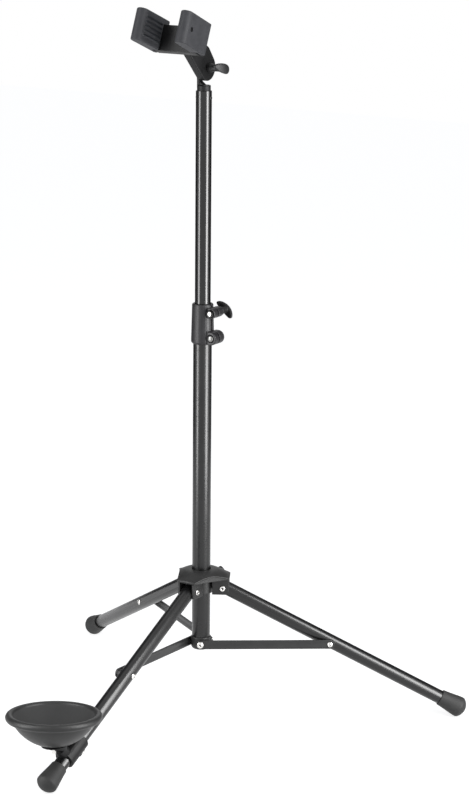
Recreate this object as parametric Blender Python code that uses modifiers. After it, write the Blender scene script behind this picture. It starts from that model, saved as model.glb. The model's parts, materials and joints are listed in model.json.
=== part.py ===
"""Folding bassoon stand: a tripod with a telescopic column, a tilting fork and a rubber cup on one leg.

Metres, +Z up, standing on z = 0. The cup leg points along -Y and the fork opens the same way.
"""

import math

import bmesh
import bpy
from mathutils import Euler, Matrix, Vector

# Clearance between pieces that touch or run on each other
GAP = 0.0003

# Legs
LEG_AZIMUTHS = {"front": -90.0, "right": 30.0, "left": 150.0}
LEG_SLOPE = 27.1
LEG_RADIUS = 0.0095
LEG_WALL = 0.0012
LEG_LENGTH = 0.350
LEG_INNER_END = 0.008
FOOT_START = LEG_LENGTH - 0.011
FOOT_EDGE = LEG_LENGTH + 0.022
FOOT_RADIUS = LEG_RADIUS + 0.0040
FOOT_NECK_RADIUS = LEG_RADIUS + 0.0016
FOOT_ROUNDING = 0.0020
FOOT_DOME = 1.63 * FOOT_RADIUS
SOLE_DEPTH = 0.0008

# Column
OUTER_RADIUS = 0.0125
OUTER_WALL = 0.0015
OUTER_LENGTH = 0.4440
FITTING_RADIUS = OUTER_RADIUS + 0.0011
FITTING_FLAT = OUTER_RADIUS + 0.0004
FITTING_BELOW_PIN = 0.0088
FITTING_ABOVE_PIN = 0.0092
SPIGOT_LENGTH = 0.026

# Hub that slides on the outer tube
HUB_SLEEVE_WALL = 0.0026
HUB_CHEEK_WALL = 0.0029
LEG_CORNER = math.hypot(LEG_INNER_END, LEG_RADIUS)
HUB_PIN_RADIUS = OUTER_RADIUS + HUB_SLEEVE_WALL + LEG_CORNER + 0.0022
HUB_ARM_REACH = HUB_PIN_RADIUS + LEG_RADIUS
HUB_SIDE_ARC = 0.038
HUB_CAP_OVERHANG = 0.0024
HUB_CAP_UNDERSIDE = LEG_CORNER + 0.0004
HUB_EDGE_HEIGHT = 0.0024
HUB_CROWN_HEIGHT = 0.0124
HUB_CHEEK_DROP = 0.0090
HUB_PIN_SIZE = 0.0030
PIN_HEAD_RADIUS = 0.0038
PIN_HEAD_HEIGHT = 0.0013
LOCK_BOSS_RADIUS = 0.0070
LOCK_BOSS_REACH = OUTER_RADIUS + 0.0215

# Struts between the foot of the column and the legs
STRUT_DROP = 0.0812
STRUT_PIN_ON_LEG = 0.1669
STRUT_WIDTH = 0.0125
STRUT_THICKNESS = 0.0025
SPACER_RADIUS = 0.0055
RIVET_RADIUS = 0.0026
RIVET_HEAD_RADIUS = 0.0046
RIVET_HEAD_HEIGHT = 0.0024

# Height clutch at the top of the outer tube
CLUTCH_LENGTH = 0.0547
CLUTCH_GRIP = 0.0318
CLUTCH_TOP_WALL = 0.0037
CLUTCH_BOTTOM_RADIUS = OUTER_RADIUS + 0.0030
CLUTCH_BOLT_X = OUTER_RADIUS + 0.0061
CLUTCH_UPPER_BOLT = 0.0110
CLUTCH_LOWER_BOLT = 0.0096
UPPER_LUG_RADIUS = 0.0070
LOWER_LUG_RADIUS = 0.0090
LUG_FRONT = 0.0100
LUG_BACK = 0.0122
CLUTCH_SLIT = 0.0020

# Mast
MAST_CLEARANCE = 0.0004
MAST_WALL = 0.0012
MAST_LENGTH = 0.440
MAST_VISIBLE = 0.2840
STEM_SPIGOT = 0.028
STEM_BLOCK = 0.0072
STEM_CHEEK_WALL = 0.0041
STEM_WAIST = 0.0046
STEM_EYE = 0.0110

# Fork
FORK_TILT = 21.75
FORK_BACK = 0.0497
FORK_RISE = 0.0409
NECK_LEFT = 0.0041
NECK_THICKNESS = 0.0111
KNUCKLE_RADIUS = 0.0175
KNUCKLE_ABOVE_STEM = 0.0057
ARM_SPACING = 0.0633
ARM_SPLAY = 2.4
ARM_LENGTH = 0.0608
ARM_HEIGHT = 0.0423
ARM_THICKNESS = 0.0162
BASE_THICKNESS = 0.0120
BASE_HEIGHT = ARM_HEIGHT - 0.0073
BASE_DROP = 0.0040
TONGUE_THICKNESS = 0.0045
TONGUE_HEIGHT = ARM_HEIGHT - 0.0133
TONGUE_LENGTH = ARM_LENGTH - 0.0078
RIB_COUNT = 5
RIB_PITCH = (ARM_HEIGHT - 0.0118) / RIB_COUNT
ARM_SCREW_PLACE = TONGUE_LENGTH - 0.0068

# Wing handles and their studs
WING_LENGTH = 0.0300
TILT_WING_LENGTH = 0.0345
WING_WIDTH = 0.0130
WING_THICKNESS = 0.0048
STUD_RADIUS = 0.0029
NUT_RADIUS = 0.0050
NUT_HEIGHT = 0.0042

# Cup and the clamp that carries it on the front leg
CUP_ALONG_LEG = LEG_LENGTH
CUP_ABOVE_LEG = LEG_RADIUS + 0.0591
CUP_LEAN_BACK = 4.6
CUP_LEAN_SIDE = 3.0
CUP_RIM_RADIUS = 0.0569
CUP_BEAD = 0.0050
CUP_WALL = 0.0040
CUP_BASE_RADIUS = 0.0170
CUP_DEPTH = 0.0360
CLAMP_START = LEG_LENGTH - 0.062
CLAMP_LENGTH = 0.0380
CLAMP_WALL = 0.0034
CLAMP_BOLT_RADIUS = 0.0017
EAR_WIDTH = 0.0100
EAR_DROP = LEG_RADIUS + 0.0075
POST_ROOT = LEG_LENGTH - 0.032
FLANGE_SEAT = 0.0092
FLANGE_DROP = 0.0011
FLANGE_RADIUS = 0.0166
FLANGE_HEIGHT = 0.0030
NECK_STEPS = ((0.0138, 0.0024, 0.0052), (0.0119, 0.0046, 0.0082))
NECK_START = 0.0080
NECK_RADIUS = 0.0088

CHEEK_INSIDE = LEG_RADIUS + 0.0004
CHEEK_OUTSIDE = CHEEK_INSIDE + HUB_CHEEK_WALL
HUB_CAP_HALF_WIDTH = CHEEK_OUTSIDE + HUB_CAP_OVERHANG
FOOT_EDGE_RADIUS = FOOT_RADIUS - FOOT_ROUNDING
SLOPE = math.radians(LEG_SLOPE)
HUB_PIN_HEIGHT = FOOT_EDGE * math.sin(SLOPE) + FOOT_EDGE_RADIUS * math.cos(SLOPE) + FOOT_ROUNDING - SOLE_DEPTH
STRUT_PIN_HEIGHT = HUB_PIN_HEIGHT - STRUT_DROP
FITTING_TOP = STRUT_PIN_HEIGHT + FITTING_ABOVE_PIN
OUTER_TOP = FITTING_TOP + GAP + OUTER_LENGTH
CLUTCH_BOTTOM = OUTER_TOP + GAP - CLUTCH_GRIP
CLUTCH_TOP = CLUTCH_BOTTOM + CLUTCH_LENGTH
MAST_RADIUS = OUTER_RADIUS - OUTER_WALL - MAST_CLEARANCE
CLUTCH_TOP_RADIUS = MAST_RADIUS + CLUTCH_TOP_WALL
MAST_TOP = CLUTCH_TOP + MAST_VISIBLE
PIVOT_HEIGHT = MAST_TOP + STEM_BLOCK + KNUCKLE_RADIUS + KNUCKLE_ABOVE_STEM
STEM_RADIUS = MAST_RADIUS - MAST_WALL - GAP
STRUT_INSIDE = FITTING_FLAT + GAP
LEG_SEAT = LEG_RADIUS + GAP


def clear_scene():
    for obj in list(bpy.data.objects):
        bpy.data.objects.remove(obj, do_unlink=True)


def collection(name):
    made = bpy.data.collections.new(name)
    bpy.context.scene.collection.children.link(made)
    return made


clear_scene()
PARTS = collection("bassoon_stand")
CUTTERS = collection("cutters")
CUTTERS.hide_render = True


def principled(name, colour, roughness, metallic=0.0):
    material = bpy.data.materials.new(name)
    material.use_nodes = True
    shader = material.node_tree.nodes["Principled BSDF"]
    shader.inputs["Base Color"].default_value = (*colour, 1.0)
    shader.inputs["Roughness"].default_value = roughness
    shader.inputs["Metallic"].default_value = metallic
    material.diffuse_color = (*colour, 1.0)
    return material


BLACK_TUBE = principled("black_powder_coat", (0.012, 0.012, 0.013), 0.32)
HUB_PLASTIC = principled("black_moulded_plastic", (0.022, 0.022, 0.023), 0.50)
GREY_PLASTIC = principled("dark_grey_plastic", (0.035, 0.036, 0.038), 0.45)
RUBBER = principled("black_rubber", (0.020, 0.020, 0.021), 0.68)
PAD_RUBBER = principled("fork_pad_rubber", (0.040, 0.042, 0.047), 0.58)
NICKEL = principled("nickel_plated_steel", (0.78, 0.77, 0.74), 0.22, 1.0)
BLACK_STEEL = principled("black_steel", (0.015, 0.015, 0.016), 0.38, 0.6)
GLIDE_PLASTIC = principled("natural_glide_plastic", (0.55, 0.55, 0.52), 0.5)


# Frames that carry the pieces


def frame(name, parent=None, location=(0, 0, 0), rotation=(0, 0, 0)):
    """An empty whose rotation is given in degrees."""
    empty = bpy.data.objects.new(name, None)
    empty.empty_display_size = 0.02
    PARTS.objects.link(empty)
    empty.parent = parent
    empty.location = location
    empty.rotation_euler = Euler([math.radians(a) for a in rotation])
    return empty


# Solids


def finish_mesh(mesh):
    mesh.shade_smooth()
    mesh.set_sharp_from_angle(angle=math.radians(35))


def solid(name, bm, material, parent=None, matrix=Matrix(), into=None):
    """Makes an object from a bmesh, moved by matrix inside its parent's frame."""
    bmesh.ops.transform(bm, matrix=matrix, verts=bm.verts)
    bmesh.ops.recalc_face_normals(bm, faces=bm.faces)
    mesh = bpy.data.meshes.new(name)
    bm.to_mesh(mesh)
    bm.free()
    finish_mesh(mesh)
    mesh.materials.append(material)
    obj = bpy.data.objects.new(name, mesh)
    (into or PARTS).objects.link(obj)
    obj.parent = parent
    if into is CUTTERS:
        obj.hide_render = True
        obj.display_type = "WIRE"
    return obj


def along(start, end):
    """A matrix that takes the Z axis from the origin onto the line from start to end."""
    start = Vector(start)
    direction = Vector(end) - start
    turn = direction.to_track_quat("Z", "Y").to_matrix().to_4x4()
    return Matrix.Translation(start) @ turn


def cone(name, start, end, radius, end_radius=None, segments=24, **placed):
    """A cylinder or cone from start to end."""
    length = (Vector(end) - Vector(start)).length
    bm = bmesh.new()
    last = radius if end_radius is None else end_radius
    bmesh.ops.create_cone(bm, cap_ends=True, segments=segments, radius1=radius, radius2=last, depth=length)
    bmesh.ops.translate(bm, vec=(0, 0, length / 2), verts=bm.verts)
    return solid(name, bm, matrix=along(start, end), **placed)


def box(name, low, high, matrix=Matrix(), **placed):
    low = Vector(low)
    high = Vector(high)
    size = high - low
    bm = bmesh.new()
    bmesh.ops.create_cube(bm, size=1.0)
    bmesh.ops.scale(bm, vec=size, verts=bm.verts)
    bmesh.ops.translate(bm, vec=(low + high) / 2, verts=bm.verts)
    return solid(name, bm, matrix=matrix, **placed)


def arc(centre, radius, first, last, points):
    """Points on an arc, with its angles in degrees."""
    angles = [math.radians(first + (last - first) * i / (points - 1)) for i in range(points)]
    return [(centre[0] + radius * math.cos(a), centre[1] + radius * math.sin(a)) for a in angles]


def baked(obj):
    """The object with its modifiers, or a curve with its bevel, as a plain mesh in its own frame."""
    graph = bpy.context.evaluated_depsgraph_get()
    mesh = bpy.data.meshes.new_from_object(obj.evaluated_get(graph))
    bm = bmesh.new()
    bm.from_mesh(mesh)
    bmesh.ops.remove_doubles(bm, verts=bm.verts, dist=1e-6)
    bpy.data.meshes.remove(mesh)
    bpy.data.objects.remove(obj, do_unlink=True)
    return bm


def turned(name, profile, matrix=Matrix(), closed=False, segments=24, **placed):
    """Turns a profile of (radius, height) points, from the top down its outer side, about the Z axis."""
    mesh = bpy.data.meshes.new(name)
    count = len(profile)
    edges = [(i, i + 1) for i in range(count - 1)]
    if closed:
        edges.append((count - 1, 0))
    mesh.from_pydata([(r, 0, z) for r, z in profile], edges, [])
    obj = bpy.data.objects.new(name, mesh)
    CUTTERS.objects.link(obj)
    screw = obj.modifiers.new("Screw", "SCREW")
    screw.steps = segments
    screw.render_steps = segments
    screw.use_merge_vertices = True
    screw.merge_threshold = 0.00001
    return solid(name, baked(obj), matrix=matrix, **placed)


def extruded(name, outline, thickness, matrix=Matrix(), bevel=0.0, rounds=1, **placed):
    """A flat outline in XY, extruded half its thickness each way along Z, with its rims rounded by bevel."""
    curve = bpy.data.curves.new(name, "CURVE")
    curve.dimensions = "2D"
    curve.fill_mode = "BOTH"
    curve.extrude = thickness / 2
    spline = curve.splines.new("POLY")
    spline.points.add(len(outline) - 1)
    for point, (x, y) in zip(spline.points, outline):
        point.co = (x, y, 0, 1)
    spline.use_cyclic_u = True
    obj = bpy.data.objects.new(name, curve)
    CUTTERS.objects.link(obj)
    bm = baked(obj)
    bmesh.ops.dissolve_limit(bm, angle_limit=0.01, verts=bm.verts, edges=bm.edges)
    if bevel:
        half = thickness / 2
        rims = [e for e in bm.edges if all(abs(abs(v.co.z) - half) < 1e-7 for v in e.verts)]
        bmesh.ops.bevel(bm, geom=rims, offset=bevel, segments=rounds, profile=0.5, affect="EDGES")
    return solid(name, bm, matrix=matrix, **placed)


def combine(target, other, operation):
    """Applies one Boolean to the target and removes the other solid."""
    modifier = target.modifiers.new("Boolean", "BOOLEAN")
    modifier.operation = operation
    modifier.solver = "EXACT"
    modifier.object = other
    bpy.context.view_layer.update()
    graph = bpy.context.evaluated_depsgraph_get()
    mesh = bpy.data.meshes.new_from_object(target.evaluated_get(graph))
    target.modifiers.clear()
    old = target.data
    target.data = mesh
    mesh.name = target.name
    bpy.data.meshes.remove(old)
    finish_mesh(mesh)
    bpy.data.objects.remove(other, do_unlink=True)
    return target


def cut(target, *others):
    for other in others:
        combine(target, other, "DIFFERENCE")
    return target


def join(target, *others):
    for other in others:
        combine(target, other, "UNION")
    return target


def helper(parent):
    """The placing that a helper solid takes: it is used up by a Boolean."""
    return {"material": BLACK_STEEL, "parent": parent, "into": CUTTERS}


def upright(axis="X"):
    """Turns an outline in XY to stand: its X stays along the axis, and its Y points up."""
    stand = Matrix.Rotation(math.radians(90), 4, "X")
    return stand if axis == "X" else Matrix.Rotation(math.radians(90), 4, "Z") @ stand


def hexagon(name, start, end, radius, bore, parent, material=NICKEL):
    nut = cone(name, start, end, radius, segments=6, material=material, parent=parent)
    reach = (Vector(end) - Vector(start)).normalized() * 0.001
    drill = cone("nut_bore", Vector(start) - reach, Vector(end) + reach, bore, segments=20, **helper(parent))
    return cut(nut, drill)


def domed_rivet(name, seat, direction, head_radius, head_height, shank_radius, shank, parent):
    """A rivet with its head on seat: the head stands out along direction and the shank goes the other way."""
    rise = [(head_radius * math.cos(a), head_height * math.sin(a)) for a in (1.15, 0.65, 0.15)]
    dimple = rise[0][1] - 0.0006
    profile = [(0, dimple), (0.22 * head_radius, dimple)] + rise
    profile += [(head_radius, 0), (shank_radius, 0), (shank_radius, -shank), (0, -shank)]
    place = along(seat, Vector(seat) + Vector(direction))
    return turned(name, profile, matrix=place, segments=16, material=NICKEL, parent=parent)


def bent(bar, outer_arc, inner_arc, strips=8):
    """Bends a flat bar back towards -Z at both ends of its X, its top and its underside each along an arc."""
    bm = bmesh.new()
    bm.from_mesh(bar.data)
    half = max(v.co.x for v in bm.verts)
    for i in range(1, strips):
        everything = bm.verts[:] + bm.edges[:] + bm.faces[:]
        place = (half * (2 * i / strips - 1), 0, 0)
        bmesh.ops.bisect_plane(bm, geom=everything, dist=1e-6, plane_co=place, plane_no=(1, 0, 0))
    bmesh.ops.triangulate(bm, faces=bm.faces)
    low = min(v.co.z for v in bm.verts)
    high = max(v.co.z for v in bm.verts)
    for v in bm.verts:
        share = (v.co.z - low) / (high - low)
        v.co.z -= v.co.x**2 / 2 * (share / outer_arc + (1 - share) / inner_arc)
    bm.to_mesh(bar.data)
    bm.free()
    finish_mesh(bar.data)
    return bar


def wing(name, parent, seat, stem, bore_depth, length=WING_LENGTH):
    """A wing handle along +Z from z = seat: a waisted stem and a rounded bar that bends back at both ends."""
    half = length / 2
    end = 0.62 * WING_WIDTH
    outline = []
    for side, first in ((1, -90), (-1, 90)):
        for angle in (math.radians(first + 22.5 * i) for i in range(9)):
            outline.append((side * (half - end) + end * math.cos(angle), WING_WIDTH / 2 * math.sin(angle)))
    place = Matrix.Translation((0, 0, seat + stem + WING_THICKNESS / 2))
    bar = extruded(name, outline, WING_THICKNESS, matrix=place, bevel=0.0010, material=GREY_PLASTIC,
                   parent=parent)
    bent(bar, 0.75 * length, 0.92 * length)
    top = 0.4 * WING_WIDTH
    body = [(0.0, seat + stem + 0.001), (top, seat + stem + 0.001), (0.0044, seat + 0.55 * stem)]
    body += [(0.0062, seat + 0.0015), (0.0055, seat), (0.0, seat)]
    join(bar, turned("wing_stem", body, segments=20, **helper(parent)))
    return cut(bar, cone("stud_bore", (0, 0, seat - 0.001), (0, 0, seat + bore_depth), STUD_RADIUS + GAP,
                         segments=20, **helper(parent)))


def stud(name, parent, start, end):
    return cone(name, (0, 0, start), (0, 0, end), STUD_RADIUS, segments=20, material=NICKEL, parent=parent)


def pipe_profile(radius, wall, bottom, top):
    return [(radius, top), (radius, bottom), (radius - wall, bottom), (radius - wall, top)]


root = frame("stand_root")


# Column: the outer tube, its end fitting and the height clutch


def build_column():
    tube = pipe_profile(OUTER_RADIUS, OUTER_WALL, FITTING_TOP + GAP, OUTER_TOP)
    turned("outer_tube", tube, closed=True, material=BLACK_TUBE, parent=root)
    spigot = OUTER_RADIUS - OUTER_WALL - GAP
    bottom = STRUT_PIN_HEIGHT - FITTING_BELOW_PIN
    rounding = 0.0045
    profile = [(0, FITTING_TOP + SPIGOT_LENGTH), (spigot - 0.001, FITTING_TOP + SPIGOT_LENGTH)]
    profile += [(spigot, FITTING_TOP + SPIGOT_LENGTH - 0.001), (spigot, FITTING_TOP)]
    profile += [(FITTING_RADIUS - 0.0006, FITTING_TOP), (FITTING_RADIUS, FITTING_TOP - 0.0006)]
    profile += arc((FITTING_RADIUS - rounding, bottom + rounding), rounding, 0, -90, 5)
    profile += [(0, bottom)]
    fitting = turned("column_end_fitting", profile, material=HUB_PLASTIC, parent=root)
    for azimuth in LEG_AZIMUTHS.values():
        turn = Matrix.Rotation(math.radians(azimuth), 4, "Z")
        low = (-FITTING_RADIUS, -FITTING_RADIUS - 0.002, bottom - 0.001)
        high = (FITTING_RADIUS, -FITTING_FLAT, FITTING_TOP + 0.0001)
        start = turn @ Vector((0, -FITTING_FLAT - 0.001, STRUT_PIN_HEIGHT))
        end = turn @ Vector((0, -FITTING_FLAT + 0.0075, STRUT_PIN_HEIGHT))
        cut(
            fitting,
            box("strut_flat", low, high, matrix=turn, **helper(root)),
            cone("rivet_hole", start, end, RIVET_RADIUS + GAP, segments=20, **helper(root)),
        )


def build_clutch():
    body_radius = CLUTCH_BOTTOM_RADIUS
    upper_bolt = CLUTCH_TOP - CLUTCH_UPPER_BOLT
    lower_bolt = CLUTCH_BOTTOM + CLUTCH_LOWER_BOLT
    step = OUTER_TOP + GAP
    grip = OUTER_RADIUS + GAP
    throat = MAST_RADIUS + GAP
    profile = [(throat + 0.0006, CLUTCH_TOP), (CLUTCH_TOP_RADIUS - 0.0010, CLUTCH_TOP)]
    profile += [(CLUTCH_TOP_RADIUS, CLUTCH_TOP - 0.0012), (body_radius, CLUTCH_BOTTOM + 0.0030)]
    profile += [(body_radius - 0.0012, CLUTCH_BOTTOM + 0.0008), (body_radius - 0.0026, CLUTCH_BOTTOM)]
    profile += [(grip, CLUTCH_BOTTOM), (grip, step), (throat, step), (throat, CLUTCH_TOP - 0.0006)]
    clutch = turned("height_clutch", profile, closed=True, segments=32, material=GREY_PLASTIC, parent=root)
    sleeve = OUTER_RADIUS + 0.0009
    lug_span = LUG_FRONT + LUG_BACK
    for height, radius in ((upper_bolt, UPPER_LUG_RADIUS), (lower_bolt, LOWER_LUG_RADIUS)):
        outline = [(sleeve, height - radius), (CLUTCH_BOLT_X, height - radius)]
        outline += arc((CLUTCH_BOLT_X, height), radius, -75, 75, 7)
        outline += [(CLUTCH_BOLT_X, height + radius), (sleeve, height + radius)]
        middle = Matrix.Translation((0, (LUG_BACK - LUG_FRONT) / 2, 0))
        place = middle @ upright()
        join(clutch, extruded("lug", outline, lug_span, matrix=place, bevel=0.0009, **helper(root)))
    hole = STUD_RADIUS + GAP
    recess = NUT_RADIUS + GAP
    length = lug_span + 0.002
    drill = [(0, length), (hole, length), (hole, 0.0032), (recess, 0.0032), (recess, 0), (0, 0)]
    for height in (upper_bolt, lower_bolt):
        front = Vector((CLUTCH_BOLT_X, -LUG_FRONT - 0.001, height))
        place = along(front, front + Vector((0, 1, 0)))
        cut(clutch, turned("bolt_drill", drill, matrix=place, segments=24, **helper(root)))
    slit_low = (0.006, -CLUTCH_SLIT / 2, CLUTCH_BOTTOM - 0.001)
    slit_high = (CLUTCH_BOLT_X + 0.0134, CLUTCH_SLIT / 2, CLUTCH_TOP + 0.001)
    cut(clutch, box("slit", slit_low, slit_high, **helper(root)))
    bore = STUD_RADIUS + GAP
    seat = -LUG_FRONT + 0.0022 - GAP
    face = Vector((CLUTCH_BOLT_X, seat, upper_bolt))
    hexagon("clutch_lock_nut", face - Vector((0, NUT_HEIGHT, 0)), face, NUT_RADIUS, bore, root)
    head = [(0, 0.0036), (0.0026, 0.0034), (0.0042, 0.0022), (0.0046, 0.0), (STUD_RADIUS, 0.0)]
    head += [(STUD_RADIUS, -lug_span - 0.0030), (0, -lug_span - 0.0030)]
    seat_point = Vector((CLUTCH_BOLT_X, seat, lower_bolt))
    place = along(seat_point, seat_point + Vector((0, -1, 0)))
    turned("clutch_clamp_screw", head, matrix=place, segments=20, material=NICKEL, parent=root)
    face = Vector((CLUTCH_BOLT_X, LUG_BACK + GAP, lower_bolt))
    hexagon("clutch_clamp_nut", face, face + Vector((0, NUT_HEIGHT, 0)), NUT_RADIUS, bore, root)
    lock = frame("clutch_wing_frame", root, (CLUTCH_BOLT_X, 0, upper_bolt), (-90, 0, 0))
    turned_lock = frame("clutch_wing_turn", lock, rotation=(0, 0, 41))
    wing("clutch_wing", turned_lock, LUG_BACK + GAP, 0.0140, 0.0115)
    stud("clutch_wing_stud", turned_lock, seat - NUT_HEIGHT - 0.0006, LUG_BACK + GAP + 0.0112)


# Mast: glide, inner tube, stem and its rivet


def build_mast():
    mast_bottom = MAST_TOP - MAST_LENGTH
    inside = MAST_RADIUS - MAST_WALL
    bore = OUTER_RADIUS - OUTER_WALL
    glide = [(0, mast_bottom + 0.018), (inside - GAP, mast_bottom + 0.018), (inside - GAP, mast_bottom - GAP)]
    glide += [(bore - GAP, mast_bottom - GAP), (bore - GAP, mast_bottom - 0.011)]
    glide += [(bore - 0.0012, mast_bottom - 0.012), (0, mast_bottom - 0.012)]
    turned("mast_glide", glide, material=GLIDE_PLASTIC, parent=root)
    tube = pipe_profile(MAST_RADIUS, MAST_WALL, mast_bottom, MAST_TOP)
    inner = turned("inner_tube", tube, closed=True, material=BLACK_TUBE, parent=root)
    rivet_height = MAST_TOP - 0.0092
    across = 0.0018
    ends = ((-0.02, 0, rivet_height), (0.02, 0, rivet_height))
    cut(inner, cone("rivet_hole", *ends, across + GAP, segments=16, **helper(root)))
    block_top = MAST_TOP + STEM_BLOCK
    body = [(0, block_top), (STEM_RADIUS - 0.0007, block_top), (STEM_RADIUS, block_top - 0.0007)]
    body += [(STEM_RADIUS, MAST_TOP - STEM_SPIGOT + 0.001), (STEM_RADIUS - 0.001, MAST_TOP - STEM_SPIGOT)]
    body += [(0, MAST_TOP - STEM_SPIGOT)]
    stem = turned("fork_stem", body, material=HUB_PLASTIC, parent=root)
    outside = -NECK_LEFT - GAP - STEM_CHEEK_WALL
    waist = [(-STEM_WAIST, MAST_TOP + 0.003), (STEM_WAIST, MAST_TOP + 0.003), (STEM_WAIST, block_top + 0.006)]
    lift = math.degrees(math.asin(0.82))
    waist += arc((0, PIVOT_HEIGHT), STEM_EYE, -90 + lift * 0.55, 270 - lift * 0.55, 17)
    waist += [(-STEM_WAIST, block_top + 0.006)]
    side = Matrix.Translation((outside + STEM_CHEEK_WALL / 2, 0, 0)) @ upright("Y")
    cheek = extruded("cheek", waist, STEM_CHEEK_WALL, matrix=side, bevel=0.0007, **helper(root))
    ramp = [(outside + 0.001, MAST_TOP + 0.004), (0.0030, MAST_TOP + 0.004), (0.0010, block_top + 0.0006)]
    ramp_top = block_top + KNUCKLE_ABOVE_STEM - 0.0007
    ramp += [(outside + STEM_CHEEK_WALL - 0.0002, ramp_top), (outside + 0.001, ramp_top)]
    wedge = extruded("wedge", ramp, 2 * STEM_WAIST - 0.0016, matrix=upright(), **helper(root))
    join(stem, wedge, cheek)
    hole = cone("stem_hole", *ends, across + GAP, segments=16, **helper(root))
    pivot_ends = ((-0.02, 0, PIVOT_HEIGHT), (0.0, 0, PIVOT_HEIGHT))
    cut(stem, hole, cone("pivot_hole", *pivot_ends, STUD_RADIUS + GAP, segments=20, **helper(root)))
    reach = MAST_RADIUS + GAP
    head = [(0, 0.0012), (0.0020, 0.0009), (0.0027, 0.0), (across, 0.0)]
    head += [(across, -2 * reach), (0.0025, -2 * reach)]
    head += [(0.0020, -2 * reach - 0.0008), (0, -2 * reach - 0.0008)]
    place = along((reach, 0, rivet_height), (reach + 1, 0, rivet_height))
    turned("stem_rivet", head, matrix=place, segments=16, material=NICKEL, parent=root)
    hexagon("tilt_nut", (outside - GAP, 0, PIVOT_HEIGHT), (outside - GAP - NUT_HEIGHT, 0, PIVOT_HEIGHT),
            NUT_RADIUS + 0.0006, STUD_RADIUS + GAP, root)
    return outside


# Fork: yoke, two pads, their screws and the tilt handle


def arm_frame(name, base, side):
    """A frame at the rear middle of one arm, splayed outwards, with -Y forwards."""
    return frame(name, base, (side * ARM_SPACING / 2, 0, 0), (0, 0, side * ARM_SPLAY))


def build_fork(stem_outside):
    pivot = frame("fork_pivot", root, (0, 0, PIVOT_HEIGHT))
    base = frame("fork_base", pivot, (0, -FORK_BACK, FORK_RISE), (-FORK_TILT, 0, 0))
    bpy.context.view_layer.update()
    to_pivot = pivot.matrix_world.inverted() @ base.matrix_world
    root_low = to_pivot @ Vector((0, -0.004, -0.0095))
    root_high = to_pivot @ Vector((0, -0.004, 0.0145))
    outline = arc((0, 0), KNUCKLE_RADIUS, 41, -137, 19)
    outline += [(root_low.y, root_low.z), (root_high.y, root_high.z), (0.0019, 1.5 * KNUCKLE_RADIUS)]
    middle = -NECK_LEFT + NECK_THICKNESS / 2
    side = Matrix.Translation((middle, 0, 0)) @ upright("Y")
    yoke = extruded("fork_yoke", outline, NECK_THICKNESS, matrix=side, bevel=0.0008, material=GREY_PLASTIC,
                    parent=pivot)
    half = ARM_SPACING / 2
    bottom = -BASE_HEIGHT / 2 - BASE_DROP
    wall = box("wall", (-half, -0.001 - BASE_THICKNESS, bottom), (half, -0.001, bottom + BASE_HEIGHT),
               matrix=to_pivot, **helper(pivot))
    join(yoke, wall)
    for name, sign in (("left", -1), ("right", 1)):
        arm = arm_frame(f"fork_arm_{name}", base, sign)
        bpy.context.view_layer.update()
        to_arm = pivot.matrix_world.inverted() @ arm.matrix_world
        low = (-TONGUE_THICKNESS / 2, -TONGUE_LENGTH, -TONGUE_HEIGHT / 2)
        high = (TONGUE_THICKNESS / 2, -0.0013, TONGUE_HEIGHT / 2)
        join(yoke, box("tongue", low, high, matrix=to_arm, **helper(pivot)))
        start = to_arm @ Vector((sign * 0.01, -ARM_SCREW_PLACE, 0))
        end = to_arm @ Vector((-sign * 0.01, -ARM_SCREW_PLACE, 0))
        cut(yoke, cone("screw_hole", start, end, 0.0015 + GAP, segments=16, **helper(pivot)))
        build_pad(name, arm, sign)
    bore = cone("pivot_bore", (-0.02, 0, 0), (0.02, 0, 0), STUD_RADIUS + GAP, segments=20, **helper(pivot))
    cut(yoke, bore)
    lock = frame("tilt_wing_frame", pivot, (0, 0, 0), (90, 0, 90))
    turned_lock = frame("tilt_wing_turn", lock, rotation=(0, 0, -15))
    seat = -NECK_LEFT + NECK_THICKNESS + GAP
    wing("tilt_wing", turned_lock, seat, 0.0220, 0.0120, length=TILT_WING_LENGTH)
    stud("tilt_wing_stud", turned_lock, stem_outside - NUT_HEIGHT - 0.0009, seat + 0.0117)


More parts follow.
